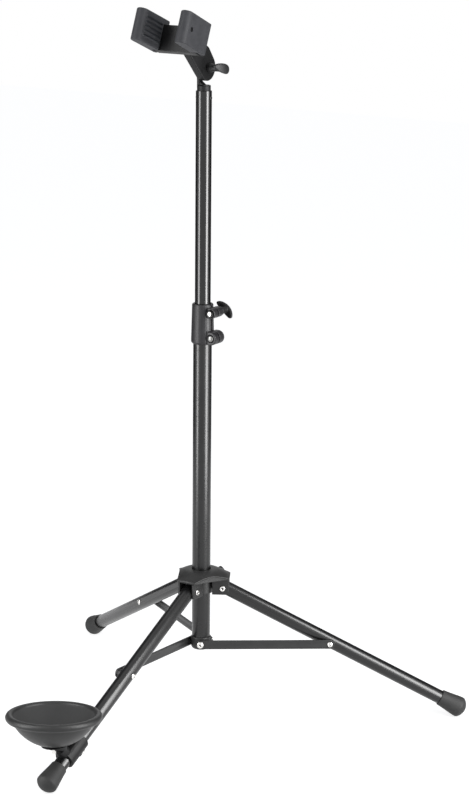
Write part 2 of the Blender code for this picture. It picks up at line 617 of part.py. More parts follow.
def build_pad(name, arm, sign):
    half = ARM_THICKNESS / 2
    tip = -ARM_LENGTH + half
    outline = [(half, -0.0022), (half - 0.0022, 0), (-half + 0.0022, 0), (-half, -0.0022)]
    outline += arc((0, tip), half, 180, 360, 17)
    pad = extruded(f"fork_pad_{name}", outline, ARM_HEIGHT, bevel=0.0011, material=PAD_RUBBER, parent=arm)
    slot = TONGUE_THICKNESS / 2 + GAP
    room = TONGUE_HEIGHT / 2 + GAP
    window = (-BASE_HEIGHT / 2 - BASE_DROP - GAP, BASE_HEIGHT / 2 - BASE_DROP + GAP)
    inner = sorted((-sign * (half + 0.004), sign * (slot - 0.0002)))
    window_back = -0.001 - BASE_THICKNESS - 2 * GAP
    screw = ARM_SCREW_PLACE
    outer = sign * (half + 0.001)
    hole = 0.0015 + GAP
    cut(
        pad,
        box("base_window", (inner[0], window_back, window[0]), (inner[1], 0.002, window[1]), **helper(arm)),
        box("tongue_slot", (-slot, -TONGUE_LENGTH - GAP, -room), (slot, 0.001, room), **helper(arm)),
        cone("screw_recess", (outer, -screw, 0), (sign * (half - 0.0032), -screw, 0), 0.0031, segments=20,
             **helper(arm)),
        cone("screw_way", (outer, -screw, 0), (sign * 0.001, -screw, 0), hole, segments=16, **helper(arm)),
    )
    for i in range(RIB_COUNT):
        height = (i - (RIB_COUNT - 1) / 2) * RIB_PITCH
        start = Vector((-sign * (half - 0.0005), -0.0165, height))
        end = Vector((-sign * (half - 0.0005), tip + 0.0005, height))
        join(pad, cone("rib", start, end, 0.0016, segments=10, **helper(arm)))
    head = [(0, 0.0018), (0.0020, 0.0015), (0.0026, 0.0006), (0.0026, 0)]
    head += [(0.0015, 0), (0.0015, -0.0070), (0, -0.0070)]
    seat = Vector((sign * (half - 0.0032 + GAP), -screw, 0))
    place = along(seat, seat + Vector((sign, 0, 0)))
    turned(f"fork_screw_{name}", head, matrix=place, segments=16, material=BLACK_STEEL, parent=arm)


# Hub: a moulded cap with three pairs of cheeks, sliding on the outer tube


def hub_outline():
    """The cap seen from above: three arms whose sides are one concave arc from arm to arm."""
    points = []
    end = HUB_ARM_REACH
    half = HUB_CAP_HALF_WIDTH
    corner = 0.0025
    azimuths = sorted(LEG_AZIMUTHS.values())
    for azimuth in azimuths:
        turn = Matrix.Rotation(math.radians(azimuth), 2)
        tip = arc((end - corner, -half + corner), corner, -90, 0, 4)
        tip += arc((end - corner, half - corner), corner, 0, 90, 4)
        placed = [turn @ Vector(p) for p in tip]
        leaving = placed[-1]
        reached = Matrix.Rotation(math.radians(120), 2) @ placed[0]
        middle = (leaving + reached) / 2
        outwards = middle.normalized()
        chord = (reached - leaving).length / 2
        centre = middle + outwards * math.sqrt(HUB_SIDE_ARC**2 - chord**2)
        first = math.degrees(math.atan2(*(leaving - centre).yx))
        last = math.degrees(math.atan2(*(reached - centre).yx))
        sweep = (last - first + 180) % 360 - 180
        side = arc(centre, HUB_SIDE_ARC, first, first + sweep, 9)[1:-1]
        points += [tuple(p) for p in placed] + side
    return points


def build_hub():
    hub = frame("hub_frame", root, (0, 0, HUB_PIN_HEIGHT))
    crown = HUB_CAP_UNDERSIDE + HUB_CROWN_HEIGHT
    edge = HUB_CAP_UNDERSIDE + HUB_EDGE_HEIGHT
    place = Matrix.Translation((0, 0, HUB_CAP_UNDERSIDE + 0.01))
    body = extruded("hub", hub_outline(), 0.02, matrix=place, material=HUB_PLASTIC, parent=hub)
    collar = OUTER_RADIUS + 0.0030
    dome = [(0, crown + 0.0004), (collar - 0.0005, crown + 0.0004), (collar, crown)]
    rim = HUB_ARM_REACH + 0.0058
    for share in (0.17, 0.34, 0.50, 0.67, 0.82):
        rise = (crown - edge) * math.cos(math.radians(90 * share)) ** 1.3
        dome.append((collar + share * (rim - collar), edge + rise))
    dome += [(rim, edge - 0.0004), (rim, HUB_CAP_UNDERSIDE - 0.001), (0, HUB_CAP_UNDERSIDE - 0.001)]
    combine(body, turned("dome", dome, segments=36, **helper(hub)), "INTERSECT")
    sleeve = OUTER_RADIUS + GAP + HUB_SLEEVE_WALL
    low = -HUB_CHEEK_DROP + 0.0004
    boss = (0, LOCK_BOSS_REACH, 0)
    join(
        body,
        cone("sleeve", (0, 0, low), (0, 0, HUB_CAP_UNDERSIDE + 0.002), sleeve, segments=32, **helper(hub)),
        cone("lock_boss", (0, 0.004, 0), boss, LOCK_BOSS_RADIUS, segments=28, **helper(hub)),
    )
    for name, azimuth in LEG_AZIMUTHS.items():
        arm = frame(f"hub_arm_{name}", hub, rotation=(0, 0, azimuth))
        turn = Matrix.Rotation(math.radians(azimuth), 4, "Z")
        reach = HUB_ARM_REACH - 0.0006
        inner = OUTER_RADIUS + 0.0005
        outline = [(inner, HUB_CAP_UNDERSIDE + 0.002), (inner, -HUB_CHEEK_DROP)]
        outline += arc((reach - 0.004, -HUB_CHEEK_DROP + 0.004), 0.004, -90, 0, 5)
        outline += [(reach, HUB_CAP_UNDERSIDE + 0.002)]
        for side in (-1, 1):
            centre = side * (CHEEK_INSIDE + HUB_CHEEK_WALL / 2)
            matrix = turn @ Matrix.Translation((0, centre, 0)) @ upright()
            join(body, extruded("cheek", outline, HUB_CHEEK_WALL, matrix=matrix, **helper(hub)))
        start = turn @ Vector((HUB_PIN_RADIUS, -0.02, 0))
        end = turn @ Vector((HUB_PIN_RADIUS, 0.02, 0))
        cut(body, cone("pin_hole", start, end, HUB_PIN_SIZE + GAP, segments=20, **helper(hub)))
        build_hub_pin(name, arm)
    bore = OUTER_RADIUS + GAP
    lock_end = (0, LOCK_BOSS_REACH + 0.001, 0)
    cut(
        body,
        cone("lock_hole", (0, 0.005, 0), lock_end, STUD_RADIUS + GAP, segments=20, **helper(hub)),
        cone("hub_bore", (0, 0, -0.03), (0, 0, 0.03), bore, segments=32, **helper(hub)),
    )
    lock = frame("hub_wing_frame", hub, (0, 0, 0), (-90, 0, 0))
    turned_lock = frame("hub_wing_turn", lock, rotation=(0, 0, 90))
    wing("hub_wing", turned_lock, LOCK_BOSS_REACH + GAP, 0.0160, 0.0115)
    stud("hub_wing_stud", turned_lock, bore, LOCK_BOSS_REACH + GAP + 0.0112)
    return hub


def build_hub_pin(name, arm):
    """A leg pin with a head on both cheeks and a small centre mark in each head."""
    seat = CHEEK_OUTSIDE + GAP
    total = 2 * seat
    head = [(0, PIN_HEAD_HEIGHT - 0.0006), (0.0009, PIN_HEAD_HEIGHT - 0.0002), (0.0016, PIN_HEAD_HEIGHT)]
    head += [(PIN_HEAD_RADIUS - 0.0008, PIN_HEAD_HEIGHT), (PIN_HEAD_RADIUS, 0.0004)]
    head += [(PIN_HEAD_RADIUS - 0.0001, 0), (HUB_PIN_SIZE, 0)]
    other = [(r, -total - z) for r, z in reversed(head)]
    place = along((HUB_PIN_RADIUS, -seat, 0), (HUB_PIN_RADIUS, -seat - 1, 0))
    turned(f"hub_pin_{name}", head + other, matrix=place, segments=20, material=NICKEL, parent=arm)


# Legs: tube, rubber foot, the strut's spacer and the tail of its rivet


def build_leg(name, azimuth, floor_cutter):
    arm = frame(f"leg_arm_{name}", root, rotation=(0, 0, azimuth))
    leg = frame(f"leg_{name}", arm, (HUB_PIN_RADIUS, 0, HUB_PIN_HEIGHT), (0, LEG_SLOPE, 0))
    outwards = Matrix.Rotation(math.radians(90), 4, "Y")
    tube = pipe_profile(LEG_RADIUS, LEG_WALL, -LEG_INNER_END, LEG_LENGTH)
    pipe = turned(f"leg_tube_{name}", tube, matrix=outwards, closed=True, material=BLACK_TUBE, parent=leg)
    joint = Vector((STRUT_PIN_ON_LEG, 0, 0))
    across = Vector((0, 0.02, 0))
    rivet_hole = RIVET_RADIUS + GAP
    cut(
        pipe,
        cone("pin_hole", -across, across, HUB_PIN_SIZE + GAP, segments=20, **helper(leg)),
        cone("rivet_hole", joint - across, joint + across, rivet_hole, segments=20, **helper(leg)),
    )
    reach = FOOT_DOME - FOOT_ROUNDING
    dome_centre = FOOT_EDGE - math.sqrt(reach**2 - FOOT_EDGE_RADIUS**2)
    lean = math.degrees(math.asin(FOOT_EDGE_RADIUS / reach))
    profile = [(0, dome_centre + FOOT_DOME)] + arc((0, dome_centre), FOOT_DOME, 90, 90 - lean, 4)[1:-1]
    profile += arc((FOOT_EDGE_RADIUS, FOOT_EDGE), FOOT_ROUNDING, 90 - lean, -4, 6)
    profile += [(FOOT_NECK_RADIUS, FOOT_START + 0.0012), (FOOT_NECK_RADIUS - 0.0005, FOOT_START)]
    profile += [(LEG_SEAT, FOOT_START), (LEG_SEAT, LEG_LENGTH + GAP), (0, LEG_LENGTH + GAP)]
    foot = turned(f"foot_{name}", profile, matrix=outwards, segments=28, material=RUBBER, parent=leg)
    bpy.context.view_layer.update()
    flat = solid("floor", floor_cutter(), **helper(None))
    flat.matrix_world = Matrix()
    cut(foot, flat)
    spacer_end = -STRUT_INSIDE + GAP
    spacer_ends = (joint - Vector((0, 0.8 * LEG_RADIUS, 0)), joint + Vector((0, spacer_end, 0)))
    spacer = cone(f"strut_spacer_{name}", *spacer_ends, SPACER_RADIUS, segments=20, material=HUB_PLASTIC,
                  parent=leg)
    half = Vector((2 * SPACER_RADIUS, 0, 0))
    cut(
        spacer,
        cone("saddle", joint - half, joint + half, LEG_SEAT, segments=32, **helper(leg)),
        cone("spacer_bore", joint, joint - across, rivet_hole, segments=20, **helper(leg)),
    )
    tail_seat = joint + Vector((0, LEG_SEAT, 0))
    domed_rivet(f"strut_rivet_tail_{name}", tail_seat, (0, 1, 0), 0.0040, 0.0018, RIVET_RADIUS,
                LEG_SEAT - spacer_end, leg)


def floor_block():
    """A block under the floor that trims the soles flat."""
    bm = bmesh.new()
    bmesh.ops.create_cube(bm, size=1.0)
    bmesh.ops.translate(bm, vec=(0, 0, -0.5), verts=bm.verts)
    return bm


# Struts: flat strips from the column's end fitting to the legs


def strut_geometry():
    slope = math.radians(LEG_SLOPE)
    reach = HUB_PIN_RADIUS + STRUT_PIN_ON_LEG * math.cos(slope)
    rise = STRUT_DROP - STRUT_PIN_ON_LEG * math.sin(slope)
    return math.hypot(reach, rise), math.degrees(math.atan2(rise, reach))


def build_strut(name, azimuth):
    length, lift = strut_geometry()
    arm = frame(f"strut_arm_{name}", root, rotation=(0, 0, azimuth))
    strut = frame(f"strut_{name}_frame", arm, (0, 0, STRUT_PIN_HEIGHT), (0, -lift, 0))
    inner = -STRUT_INSIDE
    end = STRUT_WIDTH / 2
    stadium = arc((length, 0), end, -90, 90, 13) + arc((0, 0), end, 90, 270, 13)
    place = Matrix.Translation((0, inner - STRUT_THICKNESS / 2, 0)) @ upright()
    strip = extruded(f"strut_{name}", stadium, STRUT_THICKNESS, matrix=place, bevel=0.0004,
                     material=BLACK_STEEL, parent=strut)
    for place in (0.0, length):
        cut(strip, cone("rivet_hole", (place, -0.03, 0), (place, 0.03, 0), RIVET_RADIUS + GAP, segments=20,
                        **helper(strut)))
    face = inner - STRUT_THICKNESS - GAP
    outwards = (0, -1, 0)
    domed_rivet(f"column_rivet_{name}", (0, face, 0), outwards, RIVET_HEAD_RADIUS, RIVET_HEAD_HEIGHT,
                RIVET_RADIUS, STRUT_THICKNESS + 0.0075, strut)
    domed_rivet(f"strut_rivet_{name}", (length, face, 0), outwards, 0.0037, 0.0020,
                RIVET_RADIUS, STRUT_THICKNESS + GAP, strut)


# Cup on its clamp


def build_cup():
    arm = frame("cup_leg_arm", root, rotation=(0, 0, LEG_AZIMUTHS["front"]))
    leg = frame("cup_leg", arm, (HUB_PIN_RADIUS, 0, HUB_PIN_HEIGHT), (0, LEG_SLOPE, 0))
    bpy.context.view_layer.update()
    to_root = root.matrix_world.inverted() @ leg.matrix_world
    centre = to_root @ Vector((CUP_ALONG_LEG, 0, 0))
    centre += Vector((0, 0, 1)) * (CUP_ABOVE_LEG / math.cos(math.radians(LEG_SLOPE)))
    cup = frame("cup_frame", root, centre, (-CUP_LEAN_BACK, -CUP_LEAN_SIDE, 0))
    bpy.context.view_layer.update()
    to_cup = cup.matrix_world.inverted() @ leg.matrix_world
    build_bowl(cup)
    build_cup_clamp(cup, leg, to_cup)


def sphere_radius_at(height, sphere, centre):
    return math.sqrt(max(sphere**2 - (height - centre) ** 2, 0))


def build_bowl(cup):
    """The bowl is part of a sphere with a rolled rim, a flat floor and a screw through it."""
    start = CUP_RIM_RADIUS - 0.0029
    below = -0.0040
    centre = (start**2 + below**2 - CUP_BASE_RADIUS**2 - CUP_DEPTH**2) / (2 * (below + CUP_DEPTH))
    sphere = math.hypot(start, below - centre)
    rim = arc((CUP_RIM_RADIUS, 0), CUP_BEAD, 150, -60, 9)
    heights = [below + (-CUP_DEPTH - below) * (i + 1) / 5 for i in range(5)]
    outer = [(sphere_radius_at(z, sphere, centre), z) for z in heights]
    inside = sphere - CUP_WALL
    floor = -CUP_DEPTH + CUP_WALL
    screw = STUD_RADIUS + GAP
    under = [(CUP_BASE_RADIUS - 0.004, -CUP_DEPTH), (screw, -CUP_DEPTH), (screw, floor)]
    rise = [floor + (below + 0.002 - floor) * (i + 1) / 5 for i in range(5)]
    bottom = math.sqrt(max(inside**2 - (floor - centre) ** 2, 0))
    inner = [(bottom, floor)] + [(sphere_radius_at(z, inside, centre), z) for z in rise]
    profile = rim + [(start + 0.001, below)] + outer[:-1] + [(CUP_BASE_RADIUS, -CUP_DEPTH)] + under + inner
    turned("cup", profile, closed=True, segments=40, material=RUBBER, parent=cup)
    head = [(0, 0.0026), (0.0045, 0.0023), (0.0068, 0.0009), (0.0070, 0), (STUD_RADIUS, 0)]
    head += [(STUD_RADIUS, -0.0165), (0, -0.0165)]
    place = Matrix.Translation((0, 0, floor + GAP))
    turned("cup_screw", head, matrix=place, segments=20, material=NICKEL, parent=cup)


def build_cup_clamp(cup, leg, to_cup):
    top = -CUP_DEPTH - GAP
    base = to_cup @ Vector((POST_ROOT, 0, 0.002))
    lean = base / (top - base.z)
    flange = [(0, top), (FLANGE_SEAT, top), (FLANGE_SEAT + 0.0004, top - FLANGE_DROP)]
    flange += [(FLANGE_RADIUS - 0.0004, top - FLANGE_DROP), (FLANGE_RADIUS, top - FLANGE_DROP - 0.0005)]
    flange += [(FLANGE_RADIUS - 0.0004, top - FLANGE_HEIGHT), (0, top - FLANGE_HEIGHT)]
    clamp = turned("cup_clamp", flange, segments=28, material=GREY_PLASTIC, parent=cup)
    for radius, start, end in NECK_STEPS:
        middle = Vector((lean.x, lean.y, 0)) * (start + end) / 2
        low = Vector((middle.x, middle.y, top - end))
        high = Vector((middle.x, middle.y, top - start))
        join(clamp, cone("neck_step", low, high, radius, segments=24, **helper(cup)))
    depth = NECK_START
    neck_top = Vector((lean.x * depth, lean.y * depth, top - depth))
    join(clamp, cone("neck", base, neck_top, NECK_RADIUS, segments=24, **helper(cup)))
    ring_radius = LEG_RADIUS + GAP + CLAMP_WALL
    start = to_cup @ Vector((CLAMP_START, 0, 0))
    end = to_cup @ Vector((CLAMP_START + CLAMP_LENGTH, 0, 0))
    join(clamp, cone("ring", start, end, ring_radius, segments=28, **helper(cup)))
    bolt_place = CLAMP_START + 0.0080
    drop = -(LEG_RADIUS + 0.0037)
    corner = 0.0035
    outline = [(CLAMP_START + 0.001, -0.006)]
    outline += arc((CLAMP_START + 0.001 + corner, corner - EAR_DROP), corner, 180, 270, 5)
    outline += arc((CLAMP_START + 0.0125, corner - EAR_DROP), corner, 270, 325, 3)
    outline += [(CLAMP_START + 0.0195, -LEG_RADIUS - 0.0038), (CLAMP_START + 0.0250, -LEG_RADIUS - 0.0038)]
    outline += arc((CLAMP_START + 0.0315, corner - EAR_DROP + 0.0024), corner, 255, 340, 5)
    outline += [(CLAMP_START + CLAMP_LENGTH - 0.001, -0.006)]
    ear = EAR_WIDTH / 2
    join(clamp, extruded("ears", outline, EAR_WIDTH, matrix=to_cup @ upright(), bevel=0.0006, **helper(cup)))
    before = to_cup @ Vector((CLAMP_START - 0.002, 0, 0))
    after = to_cup @ Vector((CLAMP_START + CLAMP_LENGTH + 0.012, 0, 0))
    left = to_cup @ Vector((bolt_place, -0.020, drop))
    left_face = to_cup @ Vector((bolt_place, -ear, drop))
    right = to_cup @ Vector((bolt_place, 0.020, drop))
    right_face = to_cup @ Vector((bolt_place, ear, drop))
    hole = CLAMP_BOLT_RADIUS + GAP
    bore = STUD_RADIUS + GAP
    slit_low = (CLAMP_START - 0.002, -0.0008, -EAR_DROP - 0.002)
    slit_high = (CLAMP_START + CLAMP_LENGTH + 0.002, 0.0008, 0)
    cut(
        clamp,
        cone("leg_bore", before, after, LEG_SEAT, segments=28, **helper(cup)),
        box("clamp_slit", slit_low, slit_high, matrix=to_cup, **helper(cup)),
        cone("clamp_bolt_hole", left, right, hole, segments=16, **helper(cup)),
        cone("nut_seat", left, left_face, 0.0037, segments=20, **helper(cup)),
        cone("head_seat", right_face, right, 0.0034, segments=20, **helper(cup)),
        cone("cup_screw_hole", (0, 0, top + 0.001), (0, 0, top - 0.0140), bore, segments=20, **helper(cup)),
    )
    through = -EAR_WIDTH - 2 * GAP - 0.0040
    head = [(0, 0.0016), (0.0012, 0.0016), (0.0016, 0.0024), (0.0024, 0.0020), (0.0030, 0.0009), (0.0031, 0)]
    head += [(CLAMP_BOLT_RADIUS, 0), (CLAMP_BOLT_RADIUS, through), (0, through)]
    seat = Vector((bolt_place, ear + GAP, drop))
    place = along(seat, seat + Vector((0, 1, 0)))
    turned("cup_clamp_screw", head, matrix=place, segments=16, material=NICKEL, parent=leg)
    face = Vector((bolt_place, -ear - GAP, drop))
    hexagon("cup_clamp_nut", face, face - Vector((0, 0.0030, 0)), 0.0034, hole, leg)


def centre_on_floor():
    """Moves the root so that the middle of the bounding box's base is the origin."""
    bpy.context.view_layer.update()
    graph = bpy.context.evaluated_depsgraph_get()
    corners = []
    for obj in PARTS.objects:
        if obj.type == "MESH":
            shape = obj.evaluated_get(graph)
            corners += [shape.matrix_world @ v.co for v in shape.data.vertices]
    for axis in (0, 1):
        values = [c[axis] for c in corners]
        root.location[axis] = -(min(values) + max(values)) / 2
    bpy.context.view_layer.update()


build_column()
build_clutch()
stem_outside = build_mast()
build_fork(stem_outside)
build_hub()
for leg_name, leg_azimuth in LEG_AZIMUTHS.items():
    build_leg(leg_name, leg_azimuth, floor_block)
    build_strut(leg_name, leg_azimuth)
build_cup()
centre_on_floor()
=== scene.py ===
"""Looks of the folding bassoon stand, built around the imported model.

The tubes, rivets, feet, cup, hub and wing handles are built again with finer shapes. The other moulded pieces
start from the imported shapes, which are rebuilt as a fine skin with rounded edges, and the small parts are the
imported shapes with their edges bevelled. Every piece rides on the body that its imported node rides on.
"""

import json
import math

import bmesh
import bpy
from mathutils import Matrix, Vector


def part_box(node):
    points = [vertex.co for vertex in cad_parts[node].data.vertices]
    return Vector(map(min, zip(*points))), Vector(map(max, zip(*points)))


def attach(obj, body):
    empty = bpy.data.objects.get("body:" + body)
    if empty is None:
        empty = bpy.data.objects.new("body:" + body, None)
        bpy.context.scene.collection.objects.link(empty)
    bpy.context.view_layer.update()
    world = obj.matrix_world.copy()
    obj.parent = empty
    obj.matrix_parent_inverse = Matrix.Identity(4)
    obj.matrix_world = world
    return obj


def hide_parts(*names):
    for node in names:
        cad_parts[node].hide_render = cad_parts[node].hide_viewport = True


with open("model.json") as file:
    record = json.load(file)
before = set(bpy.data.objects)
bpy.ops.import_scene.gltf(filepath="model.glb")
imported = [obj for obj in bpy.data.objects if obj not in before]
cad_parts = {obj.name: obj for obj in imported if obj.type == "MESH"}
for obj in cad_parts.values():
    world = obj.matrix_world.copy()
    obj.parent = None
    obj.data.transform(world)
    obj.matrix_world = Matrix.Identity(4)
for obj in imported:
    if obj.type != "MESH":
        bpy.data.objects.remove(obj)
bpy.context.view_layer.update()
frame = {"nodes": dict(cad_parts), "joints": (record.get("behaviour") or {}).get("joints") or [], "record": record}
nodes = frame["nodes"]
joints = {joint["name"]: joint for joint in frame["joints"]}
bodies = frame["record"]["behaviour"]["bodies"]
node_body = {node: body for body, members in bodies.items() for node in members}
node_slot = {part["node"]: part["material_slot"] for part in frame["record"]["subparts"]}
column_y = joints["mast_swivel"]["pos_m"][1]

# Sizes in metres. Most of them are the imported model's own.
GAP = 0.0003

LEG_AZIMUTHS = {"front": -90.0, "right": 30.0, "left": 150.0}
LEG_SLOPE = math.radians(27.1)
LEG_RADIUS = 0.0095
LEG_LENGTH = 0.350
LEG_WALL = 0.0012
LEG_INNER_END = 0.008

OUTER_RADIUS = 0.0125
OUTER_WALL = 0.0015
MAST_RADIUS = 0.0106
MAST_WALL = 0.0012
TUBE_RIM = 0.0003
STUD_RADIUS = 0.0029

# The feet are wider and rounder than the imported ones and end 0.1 mm above the floor.
FOOT_START = 0.339
FOOT_EDGE = 0.36791
FOOT_RADIUS = 0.0142
FOOT_ROUNDING = 0.0050
FOOT_DOME = 0.0165
FOOT_NECK = LEG_RADIUS + 0.0016
FOOT_LIP = 0.0005

HUB_PIN_SIZE = 0.0030
HUB_PIN_SEAT = 0.0131
HUB_PIN_RADIUS = 0.02972
PIN_HEAD_RADIUS = 0.0037
PIN_BORE_RADIUS = 0.0015
PIN_BORE_DEPTH = 0.0008
RIVET_RADIUS = 0.0026
STRUT_FACE = 0.0160
STRUT_PIN_ON_LEG = 0.1669

HUB_REACH = HUB_PIN_RADIUS + LEG_RADIUS
HUB_HALF_WIDTH = 0.0152
HUB_CORNER = 0.0030
HUB_SIDE_DEPTH = 0.0015
HUB_UNDERSIDE = 0.01281
HUB_EDGE = HUB_UNDERSIDE + 0.0024
HUB_CROWN = HUB_UNDERSIDE + 0.0124
HUB_CROWN_START = OUTER_RADIUS + 0.0030
HUB_CROWN_END = HUB_REACH + 0.0058
HUB_SLEEVE_WALL = 0.0026
HUB_OVERLAP = 0.002
HUB_BEAD_RADIUS = 0.00075
HUB_BEAD_INSET = 0.0002
HUB_BEAD_SINK = 0.0007
HUB_CHEEK_DROP = 0.0090
HUB_CHEEK_WALL = 0.0029
HUB_CHEEK_INSIDE = LEG_RADIUS + 0.0004
HUB_CHEEK_CORNER = 0.004
HUB_BOSS_REACH = OUTER_RADIUS + 0.0215
LOCK_BOSS_RADIUS = 0.0070
LOCK_BOSS_EDGE = 0.0006

LUG_BACK = 0.0122
NECK_LEFT = 0.0041
NECK_THICKNESS = 0.0111
WING_LENGTH = 0.0300
TILT_WING_LENGTH = 0.0345
WING_WIDTH = 0.0130
WING_THICKNESS = 0.0048
WING_SQUARENESS = 0.7
WING_STEM_TOP = 0.0046
WING_STEM_FOOT = 0.0061
WING_STEM_EDGE = 0.0005
WING_STEM_OVERLAP = 0.0015

FORK_TILT = math.radians(21.75)
FORK_BACK = 0.0497
FORK_RISE = 0.0409
ARM_SPACING = 0.0633
ARM_SPLAY = math.radians(2.4)
ARM_THICKNESS = 0.0162
RIB_EDGE = 0.00025

CUP_RIM_RADIUS = 0.0569
CUP_BEAD = 0.0050
CUP_BASE_RADIUS = 0.0170
CUP_BASE_EDGE = 0.0008
CUP_DEPTH = 0.0360
CUP_WALL = 0.0040


# Materials


def principled(name, colour, roughness, metallic=0.0, specular=0.5, sheen=0.0):
    made = bpy.data.materials.new(name)
    made.use_nodes = True
    shader = made.node_tree.nodes["Principled BSDF"]
    shader.inputs["Base Color"].default_value = (*colour, 1)
    shader.inputs["Roughness"].default_value = roughness
    shader.inputs["Metallic"].default_value = metallic
    shader.inputs["Specular IOR Level"].default_value = specular
    shader.inputs["Sheen Weight"].default_value = sheen
    return made, shader


def noise(made, scale, detail):
    tree = made.node_tree
    place = tree.nodes.new("ShaderNodeTexCoord")
    texture = tree.nodes.new("ShaderNodeTexNoise")
    texture.inputs["Scale"].default_value = scale
    texture.inputs["Detail"].default_value = detail
    texture.inputs["Roughness"].default_value = 0.55
    tree.links.new(place.outputs["Object"], texture.inputs["Vector"])
    return texture.outputs["Fac"]


def ramp(made, source, low, high, low_value, high_value):
    node = made.node_tree.nodes.new("ShaderNodeMapRange")
    node.inputs["From Min"].default_value = low
    node.inputs["From Max"].default_value = high
    node.inputs["To Min"].default_value = low_value
    node.inputs["To Max"].default_value = high_value
    made.node_tree.links.new(source, node.inputs["Value"])
    return node.outputs["Result"]


def blend_colours(made, factor, first, second):
    node = made.node_tree.nodes.new("ShaderNodeMix")
    node.data_type = "RGBA"
    node.inputs["A"].default_value = (*first, 1)
    node.inputs["B"].default_value = (*second, 1)
    made.node_tree.links.new(factor, node.inputs["Factor"])
    return node.outputs["Result"]


def bump(made, shader, height, distance):
    node = made.node_tree.nodes.new("ShaderNodeBump")
    node.inputs["Strength"].default_value = 1.0
    node.inputs["Distance"].default_value = distance
    made.node_tree.links.new(height, node.inputs["Height"])
    made.node_tree.links.new(node.outputs["Normal"], shader.inputs["Normal"])


def surface(name, dark, light, roughness, mottle, grain, depth, **look):
    """A material whose colour and roughness drift with one noise and whose relief comes from a finer one."""
    made, shader = principled(name, dark, roughness[0], **look)
    drift = noise(made, mottle, 4.0)
    link = made.node_tree.links.new
    share = ramp(made, drift, 0.35, 0.68, 0.0, 1.0)
    link(blend_colours(made, share, dark, light), shader.inputs["Base Color"])
    link(ramp(made, drift, 0.3, 0.7, roughness[0], roughness[1]), shader.inputs["Roughness"])
    bump(made, shader, noise(made, grain, 2.0), depth)
    return made


def grey(value):
    return (value, value, value)


PAINT = surface(
    "powder_coat_semi_gloss", (0.0085, 0.0085, 0.0090), (0.0115, 0.0115, 0.0120), (0.26, 0.30),
    mottle=38, grain=900, depth=0.000001
)
GLOSS_PAINT = surface(
    "powder_coat_gloss", (0.0045, 0.0045, 0.0048), (0.0065, 0.0065, 0.0068), (0.17, 0.20),
    mottle=38, grain=900, depth=0.0000005, specular=0.56
)
STRUT_PAINT = surface(
    "strut_powder_coat", (0.022, 0.022, 0.023), (0.030, 0.030, 0.031), (0.36, 0.44),
    mottle=60, grain=1800, depth=0.000004
)
MOULDING = surface(
    "grained_black_nylon", grey(0.019), grey(0.026), (0.44, 0.52),
    mottle=70, grain=2600, depth=0.00003, specular=0.40
)
GREY_MOULDING = surface(
    "grained_dark_nylon", (0.022, 0.021, 0.024), (0.029, 0.028, 0.031), (0.40, 0.48),
    mottle=70, grain=2600, depth=0.000025, specular=0.35
)
# Black nylon of the fork's yoke and stem; on the cup clamp its extra darkness is painted shade under the cup
DARK_MOULDING_AND_SHADE = surface(
    "smooth_black_nylon_and_painted_shade", (0.009, 0.009, 0.0096), (0.0135, 0.0135, 0.0144), (0.44, 0.52),
    mottle=70, grain=2600, depth=0.000015, specular=0.20
)
WING_PLASTIC = surface(
    "satin_handle_plastic", (0.018, 0.018, 0.019), (0.025, 0.025, 0.026), (0.46, 0.54),
    mottle=80, grain=2600, depth=0.00002, specular=0.28
)
FOOT_RUBBER = surface(
    "foot_rubber", grey(0.036), (0.048, 0.048, 0.047), (0.60, 0.72),
    mottle=90, grain=1900, depth=0.00004, specular=0.35, sheen=0.04
)
CUP_RUBBER = surface(
    "cup_rubber", grey(0.036), grey(0.047), (0.42, 0.50),
    mottle=55, grain=2100, depth=0.00002, specular=0.32
)
# The bowl's inside: the same rubber, rougher and about twice as light as outside, as painted light inside the bowl
CUP_INSIDE_PAINTED_LIGHT = surface(
    "cup_rubber_inside_painted_light", grey(0.076), grey(0.090), (0.70, 0.82),
    mottle=55, grain=2100, depth=0.00002, specular=0.25
)
PAD_RUBBER = surface(
    "pad_rubber", (0.067, 0.068, 0.075), (0.082, 0.083, 0.091), (0.52, 0.62),
    mottle=75, grain=2200, depth=0.00003, specular=0.16
)
# The pads' inner faces: dark bluish rubber, its darkness partly the ribs' own colour and partly painted shade
# between the two pads
RIB_RUBBER_AND_SHADE = surface(
    "rib_rubber_and_painted_shade", (0.012, 0.015, 0.019), (0.018, 0.022, 0.027), (0.45, 0.55),
    mottle=75, grain=2200, depth=0.00002, specular=0.30
)
SCREW_BLACK = surface(
    "black_oxide", grey(0.012), grey(0.020), (0.35, 0.45),
    mottle=150, grain=2500, depth=0.00001, metallic=0.6
)
NICKEL = surface(
    "nickel_plate", (0.66, 0.65, 0.63), (0.78, 0.77, 0.75), (0.20, 0.30),
    mottle=260, grain=3200, depth=0.000004, metallic=1.0
)
NUT_STEEL = surface(
    "nut_black_zinc", grey(0.022), (0.036, 0.036, 0.035), (0.34, 0.44),
    mottle=260, grain=3200, depth=0.000006, metallic=0.7, specular=0.3
)
SCREW_STEEL = surface(
    "screw_zinc_plate", grey(0.17), (0.26, 0.26, 0.25), (0.30, 0.42),
    mottle=260, grain=3200, depth=0.000006, metallic=1.0
)
# Near black: painted shade in the bores of the bright rivets and pins
RIVET_BORE_SHADE = surface(
    "rivet_bore_painted_shade", grey(0.004), grey(0.010), (0.5, 0.7),
    mottle=300, grain=2500, depth=0.00001, specular=0.1
)
GLIDE = surface(
    "natural_nylon", (0.50, 0.50, 0.46), (0.58, 0.58, 0.54), (0.42, 0.52),
    mottle=90, grain=2000, depth=0.00002
)
SCREEN_CLOTH = surface(
    "grey_screen_cloth", grey(0.18), grey(0.22), (0.85, 0.95),
    mottle=20, grain=600, depth=0.0001, specular=0.05
)

